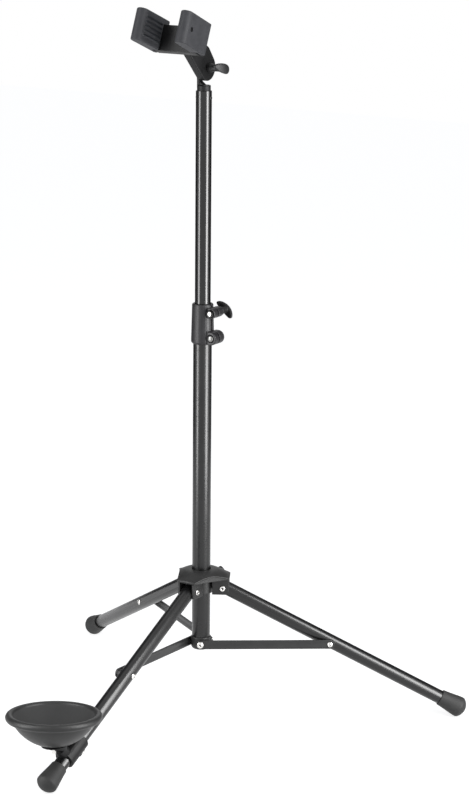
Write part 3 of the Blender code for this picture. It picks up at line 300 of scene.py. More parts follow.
SLOT_MATERIALS = {
    "tube_paint": PAINT,
    "hub_plastic": MOULDING,
    "clamp_plastic": GREY_MOULDING,
    "wing_plastic": WING_PLASTIC,
    "foot_rubber": FOOT_RUBBER,
    "cup_rubber": CUP_RUBBER,
    "pad_rubber": PAD_RUBBER,
    "strut_paint": STRUT_PAINT,
    "bright_steel": NICKEL,
    "dark_steel": SCREW_BLACK,
    "glide_plastic": GLIDE,
}


# Mesh tools


def take_over(obj, node, material=None):
    """The piece stands for this node, in its finish, and rides on the body that it rides on."""
    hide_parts(node)
    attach(obj, node_body[node])
    if not obj.data.materials:
        obj.data.materials.append(material or SLOT_MATERIALS[node_slot[node]])
    return obj


def place_mesh(name, mesh):
    obj = bpy.data.objects.new(name, mesh)
    bpy.context.scene.collection.objects.link(obj)
    return obj


def to_mesh(bm, name):
    mesh = bpy.data.meshes.new(name)
    bm.to_mesh(mesh)
    bm.free()
    return mesh


def smooth(mesh, angle=35):
    mesh.shade_smooth()
    mesh.set_sharp_from_angle(angle=math.radians(angle))


def shown_mesh(obj):
    """A new mesh of the piece as its modifiers show it."""
    bpy.context.view_layer.update()
    return bpy.data.meshes.new_from_object(obj.evaluated_get(bpy.context.evaluated_depsgraph_get()))


def apply_modifiers(obj):
    mesh = shown_mesh(obj)
    obj.modifiers.clear()
    obj.data = mesh


def combine(target, other, operation):
    """Joins, cuts or crops the first solid with the second one, which is used up."""
    modifier = target.modifiers.new("shape", "BOOLEAN")
    modifier.operation = operation
    modifier.solver = "EXACT"
    modifier.object = other
    apply_modifiers(target)
    bpy.data.objects.remove(other, do_unlink=True)


def along(start, end):
    """The frame with its origin at the start and Z towards the end."""
    start = Vector(start)
    direction = Vector(end) - start
    return Matrix.Translation(start) @ direction.to_track_quat("Z", "Y").to_matrix().to_4x4()


def arc(centre, radius, first, last, points):
    angles = [math.radians(first + (last - first) * i / (points - 1)) for i in range(points)]
    return [(centre[0] + radius * math.cos(a), centre[1] + radius * math.sin(a)) for a in angles]


def turned(name, profile, matrix, segments=64, closed=False):
    """Turns (radius, height) points about Z. A point on the axis closes the solid there."""
    bm = bmesh.new()
    rings = []
    for radius, height in profile:
        if radius < 1e-7:
            rings.append([bm.verts.new((0, 0, height))])
            continue
        turn = [2 * math.pi * i / segments for i in range(segments)]
        rings.append([bm.verts.new((radius * math.cos(a), radius * math.sin(a), height)) for a in turn])
    pairs = list(zip(rings, rings[1:]))
    if closed:
        pairs.append((rings[-1], rings[0]))
    for upper, lower in pairs:
        for i in range(segments):
            j = (i + 1) % segments
            corners = [upper[i % len(upper)], lower[i % len(lower)]]
            corners += [lower[j % len(lower)], upper[j % len(upper)]]
            distinct = list(dict.fromkeys(corners))
            if len(distinct) > 2:
                bm.faces.new(distinct)
    bmesh.ops.transform(bm, matrix=matrix, verts=bm.verts)
    bmesh.ops.recalc_face_normals(bm, faces=bm.faces)
    mesh = to_mesh(bm, name)
    smooth(mesh)
    return place_mesh(name, mesh)


def prism(name, outline, low, high, matrix=Matrix()):
    """A flat outline in XY between two heights."""
    bm = bmesh.new()
    lower = [bm.verts.new((x, y, low)) for x, y in outline]
    upper = [bm.verts.new((x, y, high)) for x, y in outline]
    bm.faces.new(list(reversed(lower)))
    bm.faces.new(upper)
    for i in range(len(outline)):
        j = (i + 1) % len(outline)
        bm.faces.new((lower[i], lower[j], upper[j], upper[i]))
    bmesh.ops.recalc_face_normals(bm, faces=bm.faces)
    mesh = to_mesh(bm, name)
    mesh.transform(matrix)
    return place_mesh(name, mesh)


def pipe(name, radius, wall, matrix, length, start=0.0):
    """A tube with its four rims rounded, from start along Z."""
    outside = radius - TUBE_RIM
    inside = radius - wall + TUBE_RIM
    low = start + TUBE_RIM
    high = start + length - TUBE_RIM
    profile = arc((outside, high), TUBE_RIM, 90, 0, 4) + arc((outside, low), TUBE_RIM, 0, -90, 4)
    profile += arc((inside, low), TUBE_RIM, 270, 180, 4) + arc((inside, high), TUBE_RIM, 180, 90, 4)
    return turned(name, profile, matrix, segments=96, closed=True)


def cut_hole(obj, start, end, radius):
    """Cuts a round hole through the piece, from start to end."""
    bm = bmesh.new()
    length = (end - start).length
    bmesh.ops.create_cone(bm, cap_ends=True, segments=40, radius1=radius, radius2=radius, depth=length)
    bmesh.ops.translate(bm, vec=(0, 0, length / 2), verts=bm.verts)
    bmesh.ops.transform(bm, matrix=along(start, end), verts=bm.verts)
    combine(obj, place_mesh("drill", to_mesh(bm, "drill")), "DIFFERENCE")


def thinned(obj, voxel, passes, share):
    """Rebuilds the piece as a fine even skin, smooths its edges and thins it out to a share of its faces."""
    remesh = obj.modifiers.new("skin", "REMESH")
    remesh.mode = "VOXEL"
    remesh.voxel_size = voxel
    relax = obj.modifiers.new("relax", "SMOOTH")
    relax.factor = 0.5
    relax.iterations = passes
    thin = obj.modifiers.new("thin", "DECIMATE")
    thin.ratio = share
    apply_modifiers(obj)
    obj.data.name = obj.name
    smooth(obj.data, 50)
    return obj


def skinned(name, solids, voxel, passes, share):
    """Merges overlapping closed solids into one skin with rounded edges."""
    bm = bmesh.new()
    for solid in solids:
        bm.from_mesh(solid.data)
        bpy.data.objects.remove(solid, do_unlink=True)
    return thinned(place_mesh(name, to_mesh(bm, name)), voxel, passes, share)


def moulded(node, name, voxel, passes, share, material=None):
    """The node's own shape with rounded edges."""
    obj = place_mesh(name, nodes[node].data.copy())
    obj.data.materials.clear()
    return take_over(thinned(obj, voxel, passes, share), node, material)


# Frames


def arm_frame(name):
    """The frame of one of the hub's arms: X outwards from the column's axis, the origin on the pin."""
    azimuth = math.radians(LEG_AZIMUTHS[name])
    pin = Vector(joints[f"leg_fold_{name}"]["pos_m"])
    return Matrix.Translation(pin) @ Matrix.Rotation(azimuth, 4, "Z")


def leg_frame(name):
    """The frame of one leg at rest: X along the leg, from the hub's pin."""
    return arm_frame(name) @ Matrix.Rotation(LEG_SLOPE, 4, "Y")


# Lays a piece that was turned about Z along X
AXIS_TO_X = Matrix.Rotation(math.radians(90), 4, "Y")


# Tubes and feet


def build_tubes():
    upright = Matrix.Translation((0, column_y, 0))
    for name, node, radius, wall, material in (
        ("column_tube", "outer_tube", OUTER_RADIUS, OUTER_WALL, None),
        ("mast_tube", "inner_tube", MAST_RADIUS, MAST_WALL, GLOSS_PAINT),
    ):
        low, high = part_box(node)
        take_over(pipe(name, radius, wall, upright, high.z - low.z, low.z), node, material)


def build_leg(name):
    leg = leg_frame(name)
    length = LEG_LENGTH + LEG_INNER_END
    tube = pipe(f"leg_{name}", LEG_RADIUS, LEG_WALL, leg @ AXIS_TO_X, length, -LEG_INNER_END)
    past_the_tube = 0.02
    for place, radius in ((0.0, HUB_PIN_SIZE), (STRUT_PIN_ON_LEG, RIVET_RADIUS)):
        start = leg @ Vector((place, -past_the_tube, 0))
        end = leg @ Vector((place, past_the_tube, 0))
        cut_hole(tube, start, end, radius + GAP)
    smooth(tube.data)
    take_over(tube, f"leg_tube_{name}")


def build_foot(name):
    reach = FOOT_DOME - FOOT_ROUNDING
    edge_radius = FOOT_RADIUS - FOOT_ROUNDING
    dome = FOOT_EDGE - math.sqrt(reach**2 - edge_radius**2)
    lean = math.degrees(math.asin(edge_radius / reach))
    profile = [(0, dome + FOOT_DOME)] + arc((0, dome), FOOT_DOME, 90, 90 - lean, 8)[1:-1]
    profile += arc((edge_radius, FOOT_EDGE), FOOT_ROUNDING, 90 - lean, -4, 12)
    shoulder = (FOOT_RADIUS - 0.0004, FOOT_EDGE - 0.0055)
    waist = (FOOT_NECK + 0.0007, FOOT_START + 0.0085)
    collar = (FOOT_NECK, FOOT_START + 0.0016)
    profile += [shoulder, waist, collar]
    profile += arc((FOOT_NECK - FOOT_LIP, FOOT_START + FOOT_LIP), FOOT_LIP, 0, -90, 5)
    seat = LEG_RADIUS + GAP
    profile += [(seat, FOOT_START), (seat, LEG_LENGTH + GAP), (0, LEG_LENGTH + GAP)]
    foot = turned(f"rubber_foot_{name}", profile, leg_frame(name) @ AXIS_TO_X, segments=96)
    take_over(foot, f"foot_{name}")


# Pins and rivets


def paint_bore_shade(obj, seat, axis, radius, above_seat):
    """Bright metal whose bore along the axis is painted dark as shade, only on the seat's outer side if so asked.
    """
    obj.data.materials.append(NICKEL)
    obj.data.materials.append(RIVET_BORE_SHADE)
    for face in obj.data.polygons:
        off = face.center - seat
        height = off.dot(axis)
        if (off - axis * height).length < radius and (height > 0 or not above_seat):
            face.material_index = 1


def build_rivet(name, node, seat, direction, radius, height, shank):
    """A rolled rivet head with a bore in its middle that is painted dark as shade."""
    bore = 0.30 * radius
    bore_floor = height - 0.0011
    lip = 0.0003
    profile = [(0, bore_floor), (bore * 0.8, bore_floor), (bore, height - 0.0004)]
    profile += arc((bore + lip, height - lip), lip, 180, 90, 4)
    rise = arc((0, 0), 1.0, 62, 4, 8)
    profile += [(radius * r, (height - 0.0001) * (0.12 + 0.88 * z)) for r, z in rise]
    profile += [(radius - 0.0001, 0), (RIVET_RADIUS, 0), (RIVET_RADIUS, -shank), (0, -shank)]
    obj = turned(name, profile, along(seat, seat + direction), segments=48)
    paint_bore_shade(obj, seat, direction, bore * 0.97, above_seat=True)
    take_over(obj, node)


def build_pin(name):
    """A hollow pin through both cheeks, with a rolled head at each end."""
    arm = arm_frame(name)
    side = arm.to_3x3() @ Vector((0, 1, 0))
    seat = arm @ Vector((0, -HUB_PIN_SEAT, 0))
    head_height = 0.0013
    lip = 0.0003
    head = [(0, -PIN_BORE_DEPTH), (PIN_BORE_RADIUS - 0.0002, -PIN_BORE_DEPTH), (PIN_BORE_RADIUS, 0.0011)]
    head += arc((PIN_BORE_RADIUS + lip, head_height - lip), lip, 150, 90, 3)
    head += arc((0.0028, 0.0003), 0.0010, 90, 12, 7) + [(PIN_HEAD_RADIUS, 0), (HUB_PIN_SIZE, 0)]
    other_head = [(radius, -2 * HUB_PIN_SEAT - height) for radius, height in reversed(head)]
    pin = turned(f"leg_pin_{name}", head + other_head, along(seat, seat - side), segments=48)
    # The bores at both ends are painted dark as shade
    paint_bore_shade(pin, seat, side, PIN_BORE_RADIUS - 0.00003, above_seat=False)
    take_over(pin, f"hub_pin_{name}")


def build_rivets(name):
    side = arm_frame(name).to_3x3() @ Vector((0, 1, 0))
    fitting = Vector(joints[f"strut_fold_{name}"]["pos_m"])
    on_leg = leg_frame(name) @ Vector((STRUT_PIN_ON_LEG, 0, 0))
    tail = LEG_RADIUS + GAP
    # After the direction: radius and height of the head, length of the shank
    for piece, node, seat, direction, radius, height, shank in (
        ("fitting_rivet", "column_rivet", fitting - side * STRUT_FACE, -side, 0.0046, 0.0024, 0.0100),
        ("strut_end_rivet", "strut_rivet", on_leg - side * STRUT_FACE, -side, 0.0037, 0.0020, 0.0028),
        ("leg_rivet_tail", "strut_rivet_tail", on_leg + side * tail, side, 0.0040, 0.0018, tail + 0.0129),
    ):
        build_rivet(f"{piece}_{name}", f"{node}_{name}", seat, direction, radius, height, shank)


# Cup


def build_cup():
    """A bowl that is part of a sphere, with a round bead at its rim and a hole for its screw."""
    swivel = joints["cup_swivel"]
    place = along(swivel["pos_m"], Vector(swivel["pos_m"]) + Vector(swivel["axis"]))
    # The bead covers the wall's upper edge, which lies this far below the rim's plane
    below = -0.0040
    start = CUP_RIM_RADIUS - 0.0029
    centre = (start**2 + below**2 - CUP_BASE_RADIUS**2 - CUP_DEPTH**2) / (2 * (below + CUP_DEPTH))
    sphere = math.hypot(start, below - centre)
    inside = sphere - CUP_WALL
    floor = -CUP_DEPTH + CUP_WALL
    rim = arc((CUP_RIM_RADIUS, 0), CUP_BEAD, 158, -64, 22)
    heights = [below + (-CUP_DEPTH - below) * (i + 1) / 16 for i in range(15)]
    outer = [(math.sqrt(sphere**2 - (z - centre) ** 2), z) for z in heights]
    screw = STUD_RADIUS + GAP
    base_edge = (CUP_BASE_RADIUS - 0.0009, -CUP_DEPTH + CUP_BASE_EDGE)
    under = arc(base_edge, CUP_BASE_EDGE, -30, -90, 4) + [(screw, -CUP_DEPTH), (screw, floor)]
    bottom = math.sqrt(inside**2 - (floor - centre) ** 2)
    bowl = [(bottom * 0.55, floor), (bottom * 0.80, floor + 0.0001), (bottom * 0.96, floor + 0.0009)]
    wall_start = floor + 0.0022
    rise = [wall_start + (below + 0.0015 - wall_start) * i / 15 for i in range(16)]
    bowl += [(math.sqrt(inside**2 - (z - centre) ** 2), z) for z in rise]
    profile = rim + [(start + 0.0012, below - 0.0002)] + outer + under + bowl
    cup = turned("rubber_cup", profile, place, segments=160, closed=True)
    cup.data.materials.append(CUP_RUBBER)
    cup.data.materials.append(CUP_INSIDE_PAINTED_LIGHT)
    # Faces inside the bowl take the lighter rubber, as painted light
    to_cup = place.inverted()
    for face in cup.data.polygons:
        spot = to_cup @ face.center
        if spot.z < 0.001 and math.hypot(spot.x, spot.y, spot.z - centre) < sphere - CUP_WALL / 2:
            face.material_index = 1
    take_over(cup, "cup")


# Hub


def hub_plan(inset=0.0):
    """The cap from above: three arms whose sides meet in shallow arcs."""
    points = []
    end = HUB_REACH - inset
    half = HUB_HALF_WIDTH - inset
    for azimuth in sorted(LEG_AZIMUTHS.values()):
        turn = Matrix.Rotation(math.radians(azimuth), 2)
        tip = arc((end - HUB_CORNER, -half + HUB_CORNER), HUB_CORNER, -90, 0, 6)
        tip += arc((end - HUB_CORNER, half - HUB_CORNER), HUB_CORNER, 0, 90, 6)
        placed = [turn @ Vector(point) for point in tip]
        leaving = placed[-1]
        reached = Matrix.Rotation(math.radians(120), 2) @ placed[0]
        middle = (leaving + reached) / 2
        half_chord = (reached - leaving).length / 2
        radius = (half_chord**2 + HUB_SIDE_DEPTH**2) / (2 * HUB_SIDE_DEPTH)
        centre = middle + middle.normalized() * (radius - HUB_SIDE_DEPTH)
        first = math.degrees(math.atan2(*(leaving - centre).yx))
        last = math.degrees(math.atan2(*(reached - centre).yx))
        sweep = (last - first + 180) % 360 - 180
        points += [tuple(point) for point in placed]
        points += arc(centre, radius, first, first + sweep, 16)[1:-1]
    return points


def crown_height(radius):
    """The height of the cap's top at a distance from the axis."""
    share = (radius - HUB_CROWN_START) / (HUB_CROWN_END - HUB_CROWN_START)
    quarter_turn = math.radians(90 * min(max(share, 0), 1))
    return HUB_EDGE + (HUB_CROWN - HUB_EDGE) * math.cos(quarter_turn) ** 1.8


def hub_cap():
    """The plan as a block, cropped by the dome, with the hole for the column."""
    cap = prism("cap", hub_plan(), HUB_UNDERSIDE, HUB_CROWN + 0.01)
    radii = [HUB_CROWN_START + (HUB_CROWN_END - HUB_CROWN_START) * i / 14 for i in range(15)]
    dome = [(0, HUB_CROWN)] + [(radius, crown_height(radius)) for radius in radii]
    below = HUB_UNDERSIDE - HUB_OVERLAP
    dome += [(HUB_CROWN_END, below), (0, below)]
    combine(cap, turned("dome", dome, Matrix(), segments=96), "INTERSECT")
    column_hole = prism("bore", arc((0, 0), OUTER_RADIUS + GAP, 0, 354, 60), -0.03, 0.05)
    combine(cap, column_hole, "DIFFERENCE")
    return cap


def hub_bead():
    """The raised line around the cap's upper edge."""
    plan = [Vector(point) for point in hub_plan(HUB_BEAD_INSET)]
    curve = bpy.data.curves.new("bead", "CURVE")
    curve.dimensions = "3D"
    curve.bevel_depth = HUB_BEAD_RADIUS
    curve.bevel_resolution = 3
    spline = curve.splines.new("POLY")
    spline.points.add(len(plan) - 1)
    for point, corner in zip(spline.points, plan):
        point.co = (corner.x, corner.y, crown_height(corner.length) - HUB_BEAD_SINK, 1)
    spline.use_cyclic_u = True
    line = bpy.data.objects.new("bead", curve)
    bpy.context.scene.collection.objects.link(line)
    mesh = shown_mesh(line)
    bpy.data.objects.remove(line, do_unlink=True)
    return place_mesh("bead", mesh)


def hub_sleeve():
    """The sleeve around the outer tube, under the cap."""
    bore = OUTER_RADIUS + GAP
    outside = bore + HUB_SLEEVE_WALL
    low = -HUB_CHEEK_DROP + 0.0004
    top = HUB_UNDERSIDE + HUB_OVERLAP
    return turned("sleeve", [(outside, top), (outside, low), (bore, low), (bore, top)], Matrix(), closed=True)


def hub_boss():
    """The boss behind the hub that the locking stud passes through."""
    stud = STUD_RADIUS + GAP
    start = OUTER_RADIUS + 0.0010
    profile = [(LOCK_BOSS_RADIUS - LOCK_BOSS_EDGE, HUB_BOSS_REACH)]
    profile += [(LOCK_BOSS_RADIUS, HUB_BOSS_REACH - LOCK_BOSS_EDGE), (LOCK_BOSS_RADIUS, start)]
    profile += [(stud, start), (stud, HUB_BOSS_REACH)]
    return turned("boss", profile, along((0, 0, 0), (0, 1, 0)), closed=True)


def hub_cheeks(azimuth):
    """The two walls that hold one leg's pin, with their holes."""
    top = HUB_UNDERSIDE + HUB_OVERLAP
    reach = HUB_REACH - 0.0006
    outline = [(HUB_CROWN_START, top), (HUB_CROWN_START, -HUB_CHEEK_DROP)]
    corner = (reach - HUB_CHEEK_CORNER, -HUB_CHEEK_DROP + HUB_CHEEK_CORNER)
    outline += arc(corner, HUB_CHEEK_CORNER, -90, 0, 8) + [(reach, top)]
    hole = [(HUB_PIN_RADIUS + x, y) for x, y in arc((0, 0), HUB_PIN_SIZE + GAP, 0, 345, 24)]
    on_edge = Matrix.Rotation(math.radians(azimuth), 4, "Z") @ Matrix.Rotation(math.radians(90), 4, "X")
    outside = HUB_CHEEK_INSIDE + HUB_CHEEK_WALL
    cheeks = []
    for low, high in ((HUB_CHEEK_INSIDE, outside), (-outside, -HUB_CHEEK_INSIDE)):
        cheek = prism("cheek", outline, low, high, on_edge)
        combine(cheek, prism("hole", hole, -0.02, 0.02, on_edge), "DIFFERENCE")
        cheeks.append(cheek)
    return cheeks


def build_hub():
    solids = [hub_cap(), hub_bead(), hub_sleeve(), hub_boss()]
    for azimuth in LEG_AZIMUTHS.values():
        solids += hub_cheeks(azimuth)
    hub = skinned("hub_moulding", solids, voxel=0.00048, passes=2, share=0.32)
    hub.data.transform(Matrix.Translation((0, column_y, joints["leg_fold_front"]["pos_m"][2])))
    take_over(hub, "hub")


# Wing handles

# Radii of a handle's stem, each with the share of the stem's length at which it is reached
WING_STEM = ((0.0045, 0.80), (0.0044, 0.55), (0.0048, 0.35), (0.0060, 0.18))

# Node, outward axis, turn of the bar about it, seat, length of the stem, depth of the stud's hole, bar length
HANDLES = (
    ("tilt_wing", (1, 0, 0), -15, NECK_THICKNESS - NECK_LEFT + GAP, 0.0220, 0.0120, TILT_WING_LENGTH),
    ("clutch_wing", (0, 1, 0), 41, LUG_BACK + GAP, 0.0140, 0.0115, WING_LENGTH),
    ("hub_wing", (0, 1, 0), 90, HUB_BOSS_REACH + GAP, 0.0160, 0.0115, WING_LENGTH),
)


def power(value, exponent):
    return math.copysign(abs(value) ** exponent, value)


def handle_bar(length, base):
    """A bar along X with an oval outline, its underside at Z = base, bent back towards -Z at both ends."""
    stations = 40
    around = 24
    face_bend = 0.75 * length
    back_bend = 0.92 * length
    bm = bmesh.new()
    rings = []
    for i in range(stations + 1):
        x = -math.cos(math.pi * i / stations) * length / 2
        half = WING_WIDTH / 2 * math.sqrt(1 - min(abs(2 * x / length), 0.9995) ** 2)
        ring = []
        for k in range(around):
            turn = 2 * math.pi * k / around
            y = half * power(math.cos(turn), WING_SQUARENESS)
            z = WING_THICKNESS / 2 * power(math.sin(turn), WING_SQUARENESS)
            share = z / WING_THICKNESS + 0.5
            drop = x**2 / 2 * (share / face_bend + (1 - share) / back_bend)
            ring.append(bm.verts.new((x, y, base + WING_THICKNESS / 2 + z - drop)))
        rings.append(ring)
    for one, other in zip(rings, rings[1:]):
        for k in range(around):
            bm.faces.new((one[k], one[(k + 1) % around], other[(k + 1) % around], other[k]))
    bm.faces.new(rings[0])
    bm.faces.new(rings[-1])
    bmesh.ops.recalc_face_normals(bm, faces=bm.faces)
    return place_mesh("handle_bar", to_mesh(bm, "handle_bar"))


def build_handle(node, outwards, turn, seat, stem, depth, length):
    """A wing handle: its bar, its waisted stem and the blind hole for its stud."""
    axis = Vector(outwards)
    upwards = Vector((0, 0, 1))
    bar_way = upwards.cross(axis) * math.cos(math.radians(turn)) + upwards * math.sin(math.radians(turn))
    rows = Matrix((bar_way, axis.cross(bar_way), axis)).transposed().to_4x4()
    place = Matrix.Translation(joints[f"{node}_turn"]["pos_m"]) @ rows
    bar = handle_bar(length, seat + stem)
    bar.data.transform(place)
    bore = STUD_RADIUS + GAP
    top = seat + stem + WING_STEM_OVERLAP
    profile = [(0, top), (WING_STEM_TOP, top)]
    profile += [(radius, seat + share * stem) for radius, share in WING_STEM]
    profile += [(WING_STEM_FOOT, seat + WING_STEM_EDGE), (WING_STEM_FOOT - WING_STEM_EDGE, seat)]
    profile += [(bore, seat), (bore, seat + depth), (0, seat + depth)]
    body = turned("stem", profile, place, segments=48)
    handle = skinned(node + "_handle", [bar, body], voxel=0.00040, passes=3, share=0.35)
    take_over(handle, node)


# Other moulded pieces

# Node, name of the piece, width of the skin's voxels, smoothing passes, share of the faces kept, material
MOULDINGS = (
    ("height_clutch", "clutch_moulding", 0.00048, 2, 0.35, None),
    ("fork_yoke", "yoke_moulding", 0.00055, 2, 0.30, DARK_MOULDING_AND_SHADE),
    # The cup clamp takes the darkest nylon as painted shade under the cup
    ("cup_clamp", "clamp_moulding", 0.00045, 2, 0.35, DARK_MOULDING_AND_SHADE),
    ("fork_stem", "stem_moulding", 0.00045, 2, 0.35, DARK_MOULDING_AND_SHADE),
    ("column_end_fitting", "fitting_moulding", 0.00045, 2, 0.35, None),
)


def build_pad(name, side):
    """A fork pad. The ribs on its inner face are of a darker, smoother rubber, whose darkness is partly their own
    colour and partly painted shade between the pads.
    """
    pad = moulded(f"fork_pad_{name}", f"pad_{name}", voxel=0.00045, passes=2, share=0.35)
    pivot = Vector(joints["fork_tilt"]["pos_m"])
    middle = pivot + Vector((0, -FORK_BACK, FORK_RISE))
    base = Matrix.Translation(middle) @ Matrix.Rotation(-FORK_TILT, 4, "X")
    arm = Matrix.Translation((side * ARM_SPACING / 2, 0, 0)) @ Matrix.Rotation(side * ARM_SPLAY, 4, "Z")
    to_arm = (base @ arm).inverted()
    pad.data.materials.append(RIB_RUBBER_AND_SHADE)
    for face in pad.data.polygons:
        spot = to_arm @ face.center
        if -side * spot.x > ARM_THICKNESS / 2 + RIB_EDGE:
            face.material_index = 1


FINE_BEVEL = 0.00015
WIDE_BEVEL = 0.00030


def build_small_part(node):
    """The node's own shape with its sharp edges bevelled."""
    obj = place_mesh(node + "_finished", nodes[node].data.copy())
    obj.data.materials.clear()
    weld = obj.modifiers.new("weld", "WELD")
    weld.merge_threshold = 0.00001
    edge = obj.modifiers.new("edge", "BEVEL")
    edge.width = WIDE_BEVEL if node.endswith("_nut") or node.startswith("strut_") else FINE_BEVEL
    edge.segments = 2
    edge.limit_method = "ANGLE"
    edge.angle_limit = math.radians(40)
    apply_modifiers(obj)
    smooth(obj.data, 30)
    material = None
    if node.endswith("_nut") or node == "stem_rivet":
        material = NUT_STEEL
    elif node == "clutch_clamp_screw":
        material = SCREW_STEEL
    take_over(obj, node, material)


def build_small_parts():
    """Every node that no piece stands for yet."""
    left_over = [node for node, obj in nodes.items() if not obj.hide_render]
    for node in left_over:
        build_small_part(node)


# Studio

TOWARDS_CAMERA = Vector((0.545, -0.838, 0))
RIGHT_OF_CAMERA = Vector((0.838, 0.545, 0))
STRIP_HEIGHT = 2.0

# Name, angle from the camera's direction, distance, middle's height, width, radiance, only in reflections
STRIPS = (
    ("strip_left", -60, 1.25, 1.02, 0.42, 2.8, False),
    ("strip_right", 56, 1.25, 1.02, 0.50, 3.4, False),
    ("gloss_left", -60, 1.15, 0.97, 0.30, 9.8, True),
    ("gloss_right", 56, 1.15, 0.97, 0.52, 12.5, True),
)

SCREEN_ANGLE = 130
SCREEN_DISTANCE = 1.40
SCREEN_WIDTH = 1.8
SCREEN_HEIGHT = 2.4

AMBIENT_COLOUR = (0.95, 0.97, 1.0, 1)
AMBIENT_STRENGTH = 0.30
WHITE = (1, 1, 1, 1)
FLOOR_PAINT = (0.86, 0.86, 0.86, 1)
FLOOR_GLOW = 0.74
FLOOR_HALF_WIDTH = 6
FLOOR_DROP = 0.0002


def around_stand(angle, distance, height=0.0):
    """A place around the column, at an angle from the camera's direction, and the way out to it."""
    turn = math.radians(angle)
    way = (TOWARDS_CAMERA * math.cos(turn) + RIGHT_OF_CAMERA * math.sin(turn)).normalized()
    return Vector((0, column_y, height)) + way * distance, way


def build_strip(name, angle, distance, height, width, radiance, for_gloss):
    """A soft box that faces the column."""
    data = bpy.data.lights.new(name, "AREA")
    data.shape = "RECTANGLE"
    data.size = width
    data.size_y = STRIP_HEIGHT
    data.energy = radiance * math.pi * width * STRIP_HEIGHT
    strip = bpy.data.objects.new(name, data)
    bpy.context.scene.collection.objects.link(strip)
    strip.location, way = around_stand(angle, distance, height)
    strip.rotation_mode = "QUATERNION"
    strip.rotation_quaternion = (-way).to_track_quat("-Z", "Y")
    strip.visible_camera = False
    strip.visible_diffuse = not for_gloss


def build_screen(name, angle):
    """An upright dark grey cloth beside and behind the object. It only shows in reflections."""
    half = SCREEN_WIDTH / 2
    corners = [(-half, 0, 0), (half, 0, 0), (half, 0, SCREEN_HEIGHT), (-half, 0, SCREEN_HEIGHT)]
    mesh = bpy.data.meshes.new(name)
    mesh.from_pydata(corners, [], [(0, 1, 2, 3)])
    mesh.materials.append(SCREEN_CLOTH)
    screen = place_mesh(name, mesh)
    screen.location, way = around_stand(angle, SCREEN_DISTANCE)
    screen.rotation_euler = (0, 0, math.atan2(way.y, way.x) + math.pi / 2)
    screen.visible_camera = False
    screen.visible_diffuse = False
    screen.visible_transmission = False
    screen.visible_shadow = False


def seen_directly(tree):
    """1 for camera, glossy and transmission rays and 0 for the rays that light the object."""
    path = tree.nodes.new("ShaderNodeLightPath")
    total = path.outputs["Is Camera Ray"]
    for kind in ("Is Glossy Ray", "Is Transmission Ray"):
        most = tree.nodes.new("ShaderNodeMath")
        most.operation = "MAXIMUM"
        tree.links.new(total, most.inputs[0])
        tree.links.new(path.outputs[kind], most.inputs[1])
        total = most.outputs[0]
    return total


def build_background():
    """White where it is seen and a dim cool grey where it lights the object."""
    world = bpy.data.worlds.new("studio")
    bpy.context.scene.world = world
    world.use_nodes = True
    tree = world.node_tree
    dim = tree.nodes["Background"]
    dim.inputs["Color"].default_value = AMBIENT_COLOUR
    dim.inputs["Strength"].default_value = AMBIENT_STRENGTH
    white = tree.nodes.new("ShaderNodeBackground")
    white.inputs["Color"].default_value = WHITE
    white.inputs["Strength"].default_value = 1.0
    mix = tree.nodes.new("ShaderNodeMixShader")
    tree.links.new(seen_directly(tree), mix.inputs["Fac"])
    tree.links.new(dim.outputs[0], mix.inputs[1])
    tree.links.new(white.outputs[0], mix.inputs[2])
    tree.links.new(mix.outputs[0], tree.nodes["World Output"].inputs["Surface"])


def floor_material():
    """Pale matt paint that glows where it is seen, so that it fades into the white background."""
    made = bpy.data.materials.new("floor")
    made.cycles.emission_sampling = "NONE"
    made.use_nodes = True
    tree = made.node_tree
    tree.nodes.clear()
    out = tree.nodes.new("ShaderNodeOutputMaterial")
    paint = tree.nodes.new("ShaderNodeBsdfDiffuse")
    paint.inputs["Color"].default_value = FLOOR_PAINT
    glow = tree.nodes.new("ShaderNodeEmission")
    glow.inputs["Color"].default_value = WHITE
    strength = tree.nodes.new("ShaderNodeMath")
    strength.operation = "MULTIPLY"
    strength.inputs[1].default_value = FLOOR_GLOW
    tree.links.new(seen_directly(tree), strength.inputs[0])
    tree.links.new(strength.outputs[0], glow.inputs["Strength"])
    both = tree.nodes.new("ShaderNodeAddShader")
    tree.links.new(paint.outputs[0], both.inputs[0])
    tree.links.new(glow.outputs[0], both.inputs[1])
    tree.links.new(both.outputs[0], out.inputs["Surface"])
    return made


def build_floor():
    half = FLOOR_HALF_WIDTH
    corners = [(-half, -half, 0), (half, -half, 0), (half, half, 0), (-half, half, 0)]
    mesh = bpy.data.meshes.new("floor")
    mesh.from_pydata(corners, [], [(0, 1, 2, 3)])
    mesh.materials.append(floor_material())
    floor = place_mesh("floor", mesh)
    floor.location.z = -FLOOR_DROP


def build_studio():
    bpy.context.scene.view_settings.view_transform = "Standard"
    build_background()
    build_floor()
    for strip in STRIPS:
        build_strip(*strip)
    build_screen("dark_screen_0", -SCREEN_ANGLE)
    build_screen("dark_screen_2", SCREEN_ANGLE)


# Camera, fitted to the photo

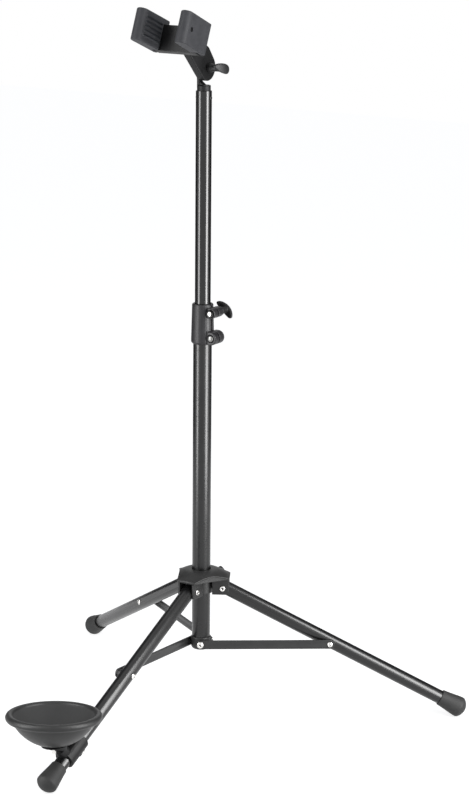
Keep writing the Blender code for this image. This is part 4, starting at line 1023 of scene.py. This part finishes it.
IMAGE_WIDTH = 469
IMAGE_HEIGHT = 800
CAMERA_AZIMUTH = math.radians(33.039)
CAMERA_DOWN = math.radians(13.562)
CAMERA_ROLL = math.radians(0.31275)
# Its place from the column's foot, as fitted while the hub's pins were at the height below it
CAMERA_FROM_COLUMN = (1.75917, -2.70483, 1.22831)
HUB_HEIGHT_AT_FIT = 0.17479
FOCAL_PIXELS = 2462.4
CENTRE_X = 202.28
CENTRE_Y = 390.65
SENSOR_WIDTH = 36.0


def build_camera():
    level = math.cos(CAMERA_DOWN)
    drop = math.sin(CAMERA_DOWN)
    forward = Vector((-math.sin(CAMERA_AZIMUTH) * level, math.cos(CAMERA_AZIMUTH) * level, -drop))
    right = forward.cross(Vector((0, 0, 1))).normalized()
    up = right.cross(forward)
    rolled_right = right * math.cos(CAMERA_ROLL) + up * math.sin(CAMERA_ROLL)
    rolled_up = up * math.cos(CAMERA_ROLL) - right * math.sin(CAMERA_ROLL)
    data = bpy.data.cameras.new("camera")
    data.sensor_width = SENSOR_WIDTH
    data.lens = FOCAL_PIXELS * SENSOR_WIDTH / IMAGE_HEIGHT
    data.shift_x = (IMAGE_WIDTH / 2 - CENTRE_X) / IMAGE_HEIGHT
    data.shift_y = (CENTRE_Y - IMAGE_HEIGHT / 2) / IMAGE_HEIGHT
    data.clip_end = 50
    camera = bpy.data.objects.new("camera", data)
    bpy.context.scene.collection.objects.link(camera)
    rows = Matrix((rolled_right, rolled_up, -forward)).transposed().to_4x4()
    hub_rise = joints["leg_fold_front"]["pos_m"][2] - HUB_HEIGHT_AT_FIT
    place = Vector(CAMERA_FROM_COLUMN) + Vector((0, column_y, hub_rise))
    camera.matrix_world = Matrix.Translation(place) @ rows
    bpy.context.scene.camera = camera


build_tubes()
for leg_name in LEG_AZIMUTHS:
    build_leg(leg_name)
    build_foot(leg_name)
    build_pin(leg_name)
    build_rivets(leg_name)
build_cup()
build_hub()
for moulding in MOULDINGS:
    moulded(*moulding)
for handle in HANDLES:
    build_handle(*handle)
build_pad("left", -1)
build_pad("right", 1)
build_small_parts()
build_studio()
build_camera()
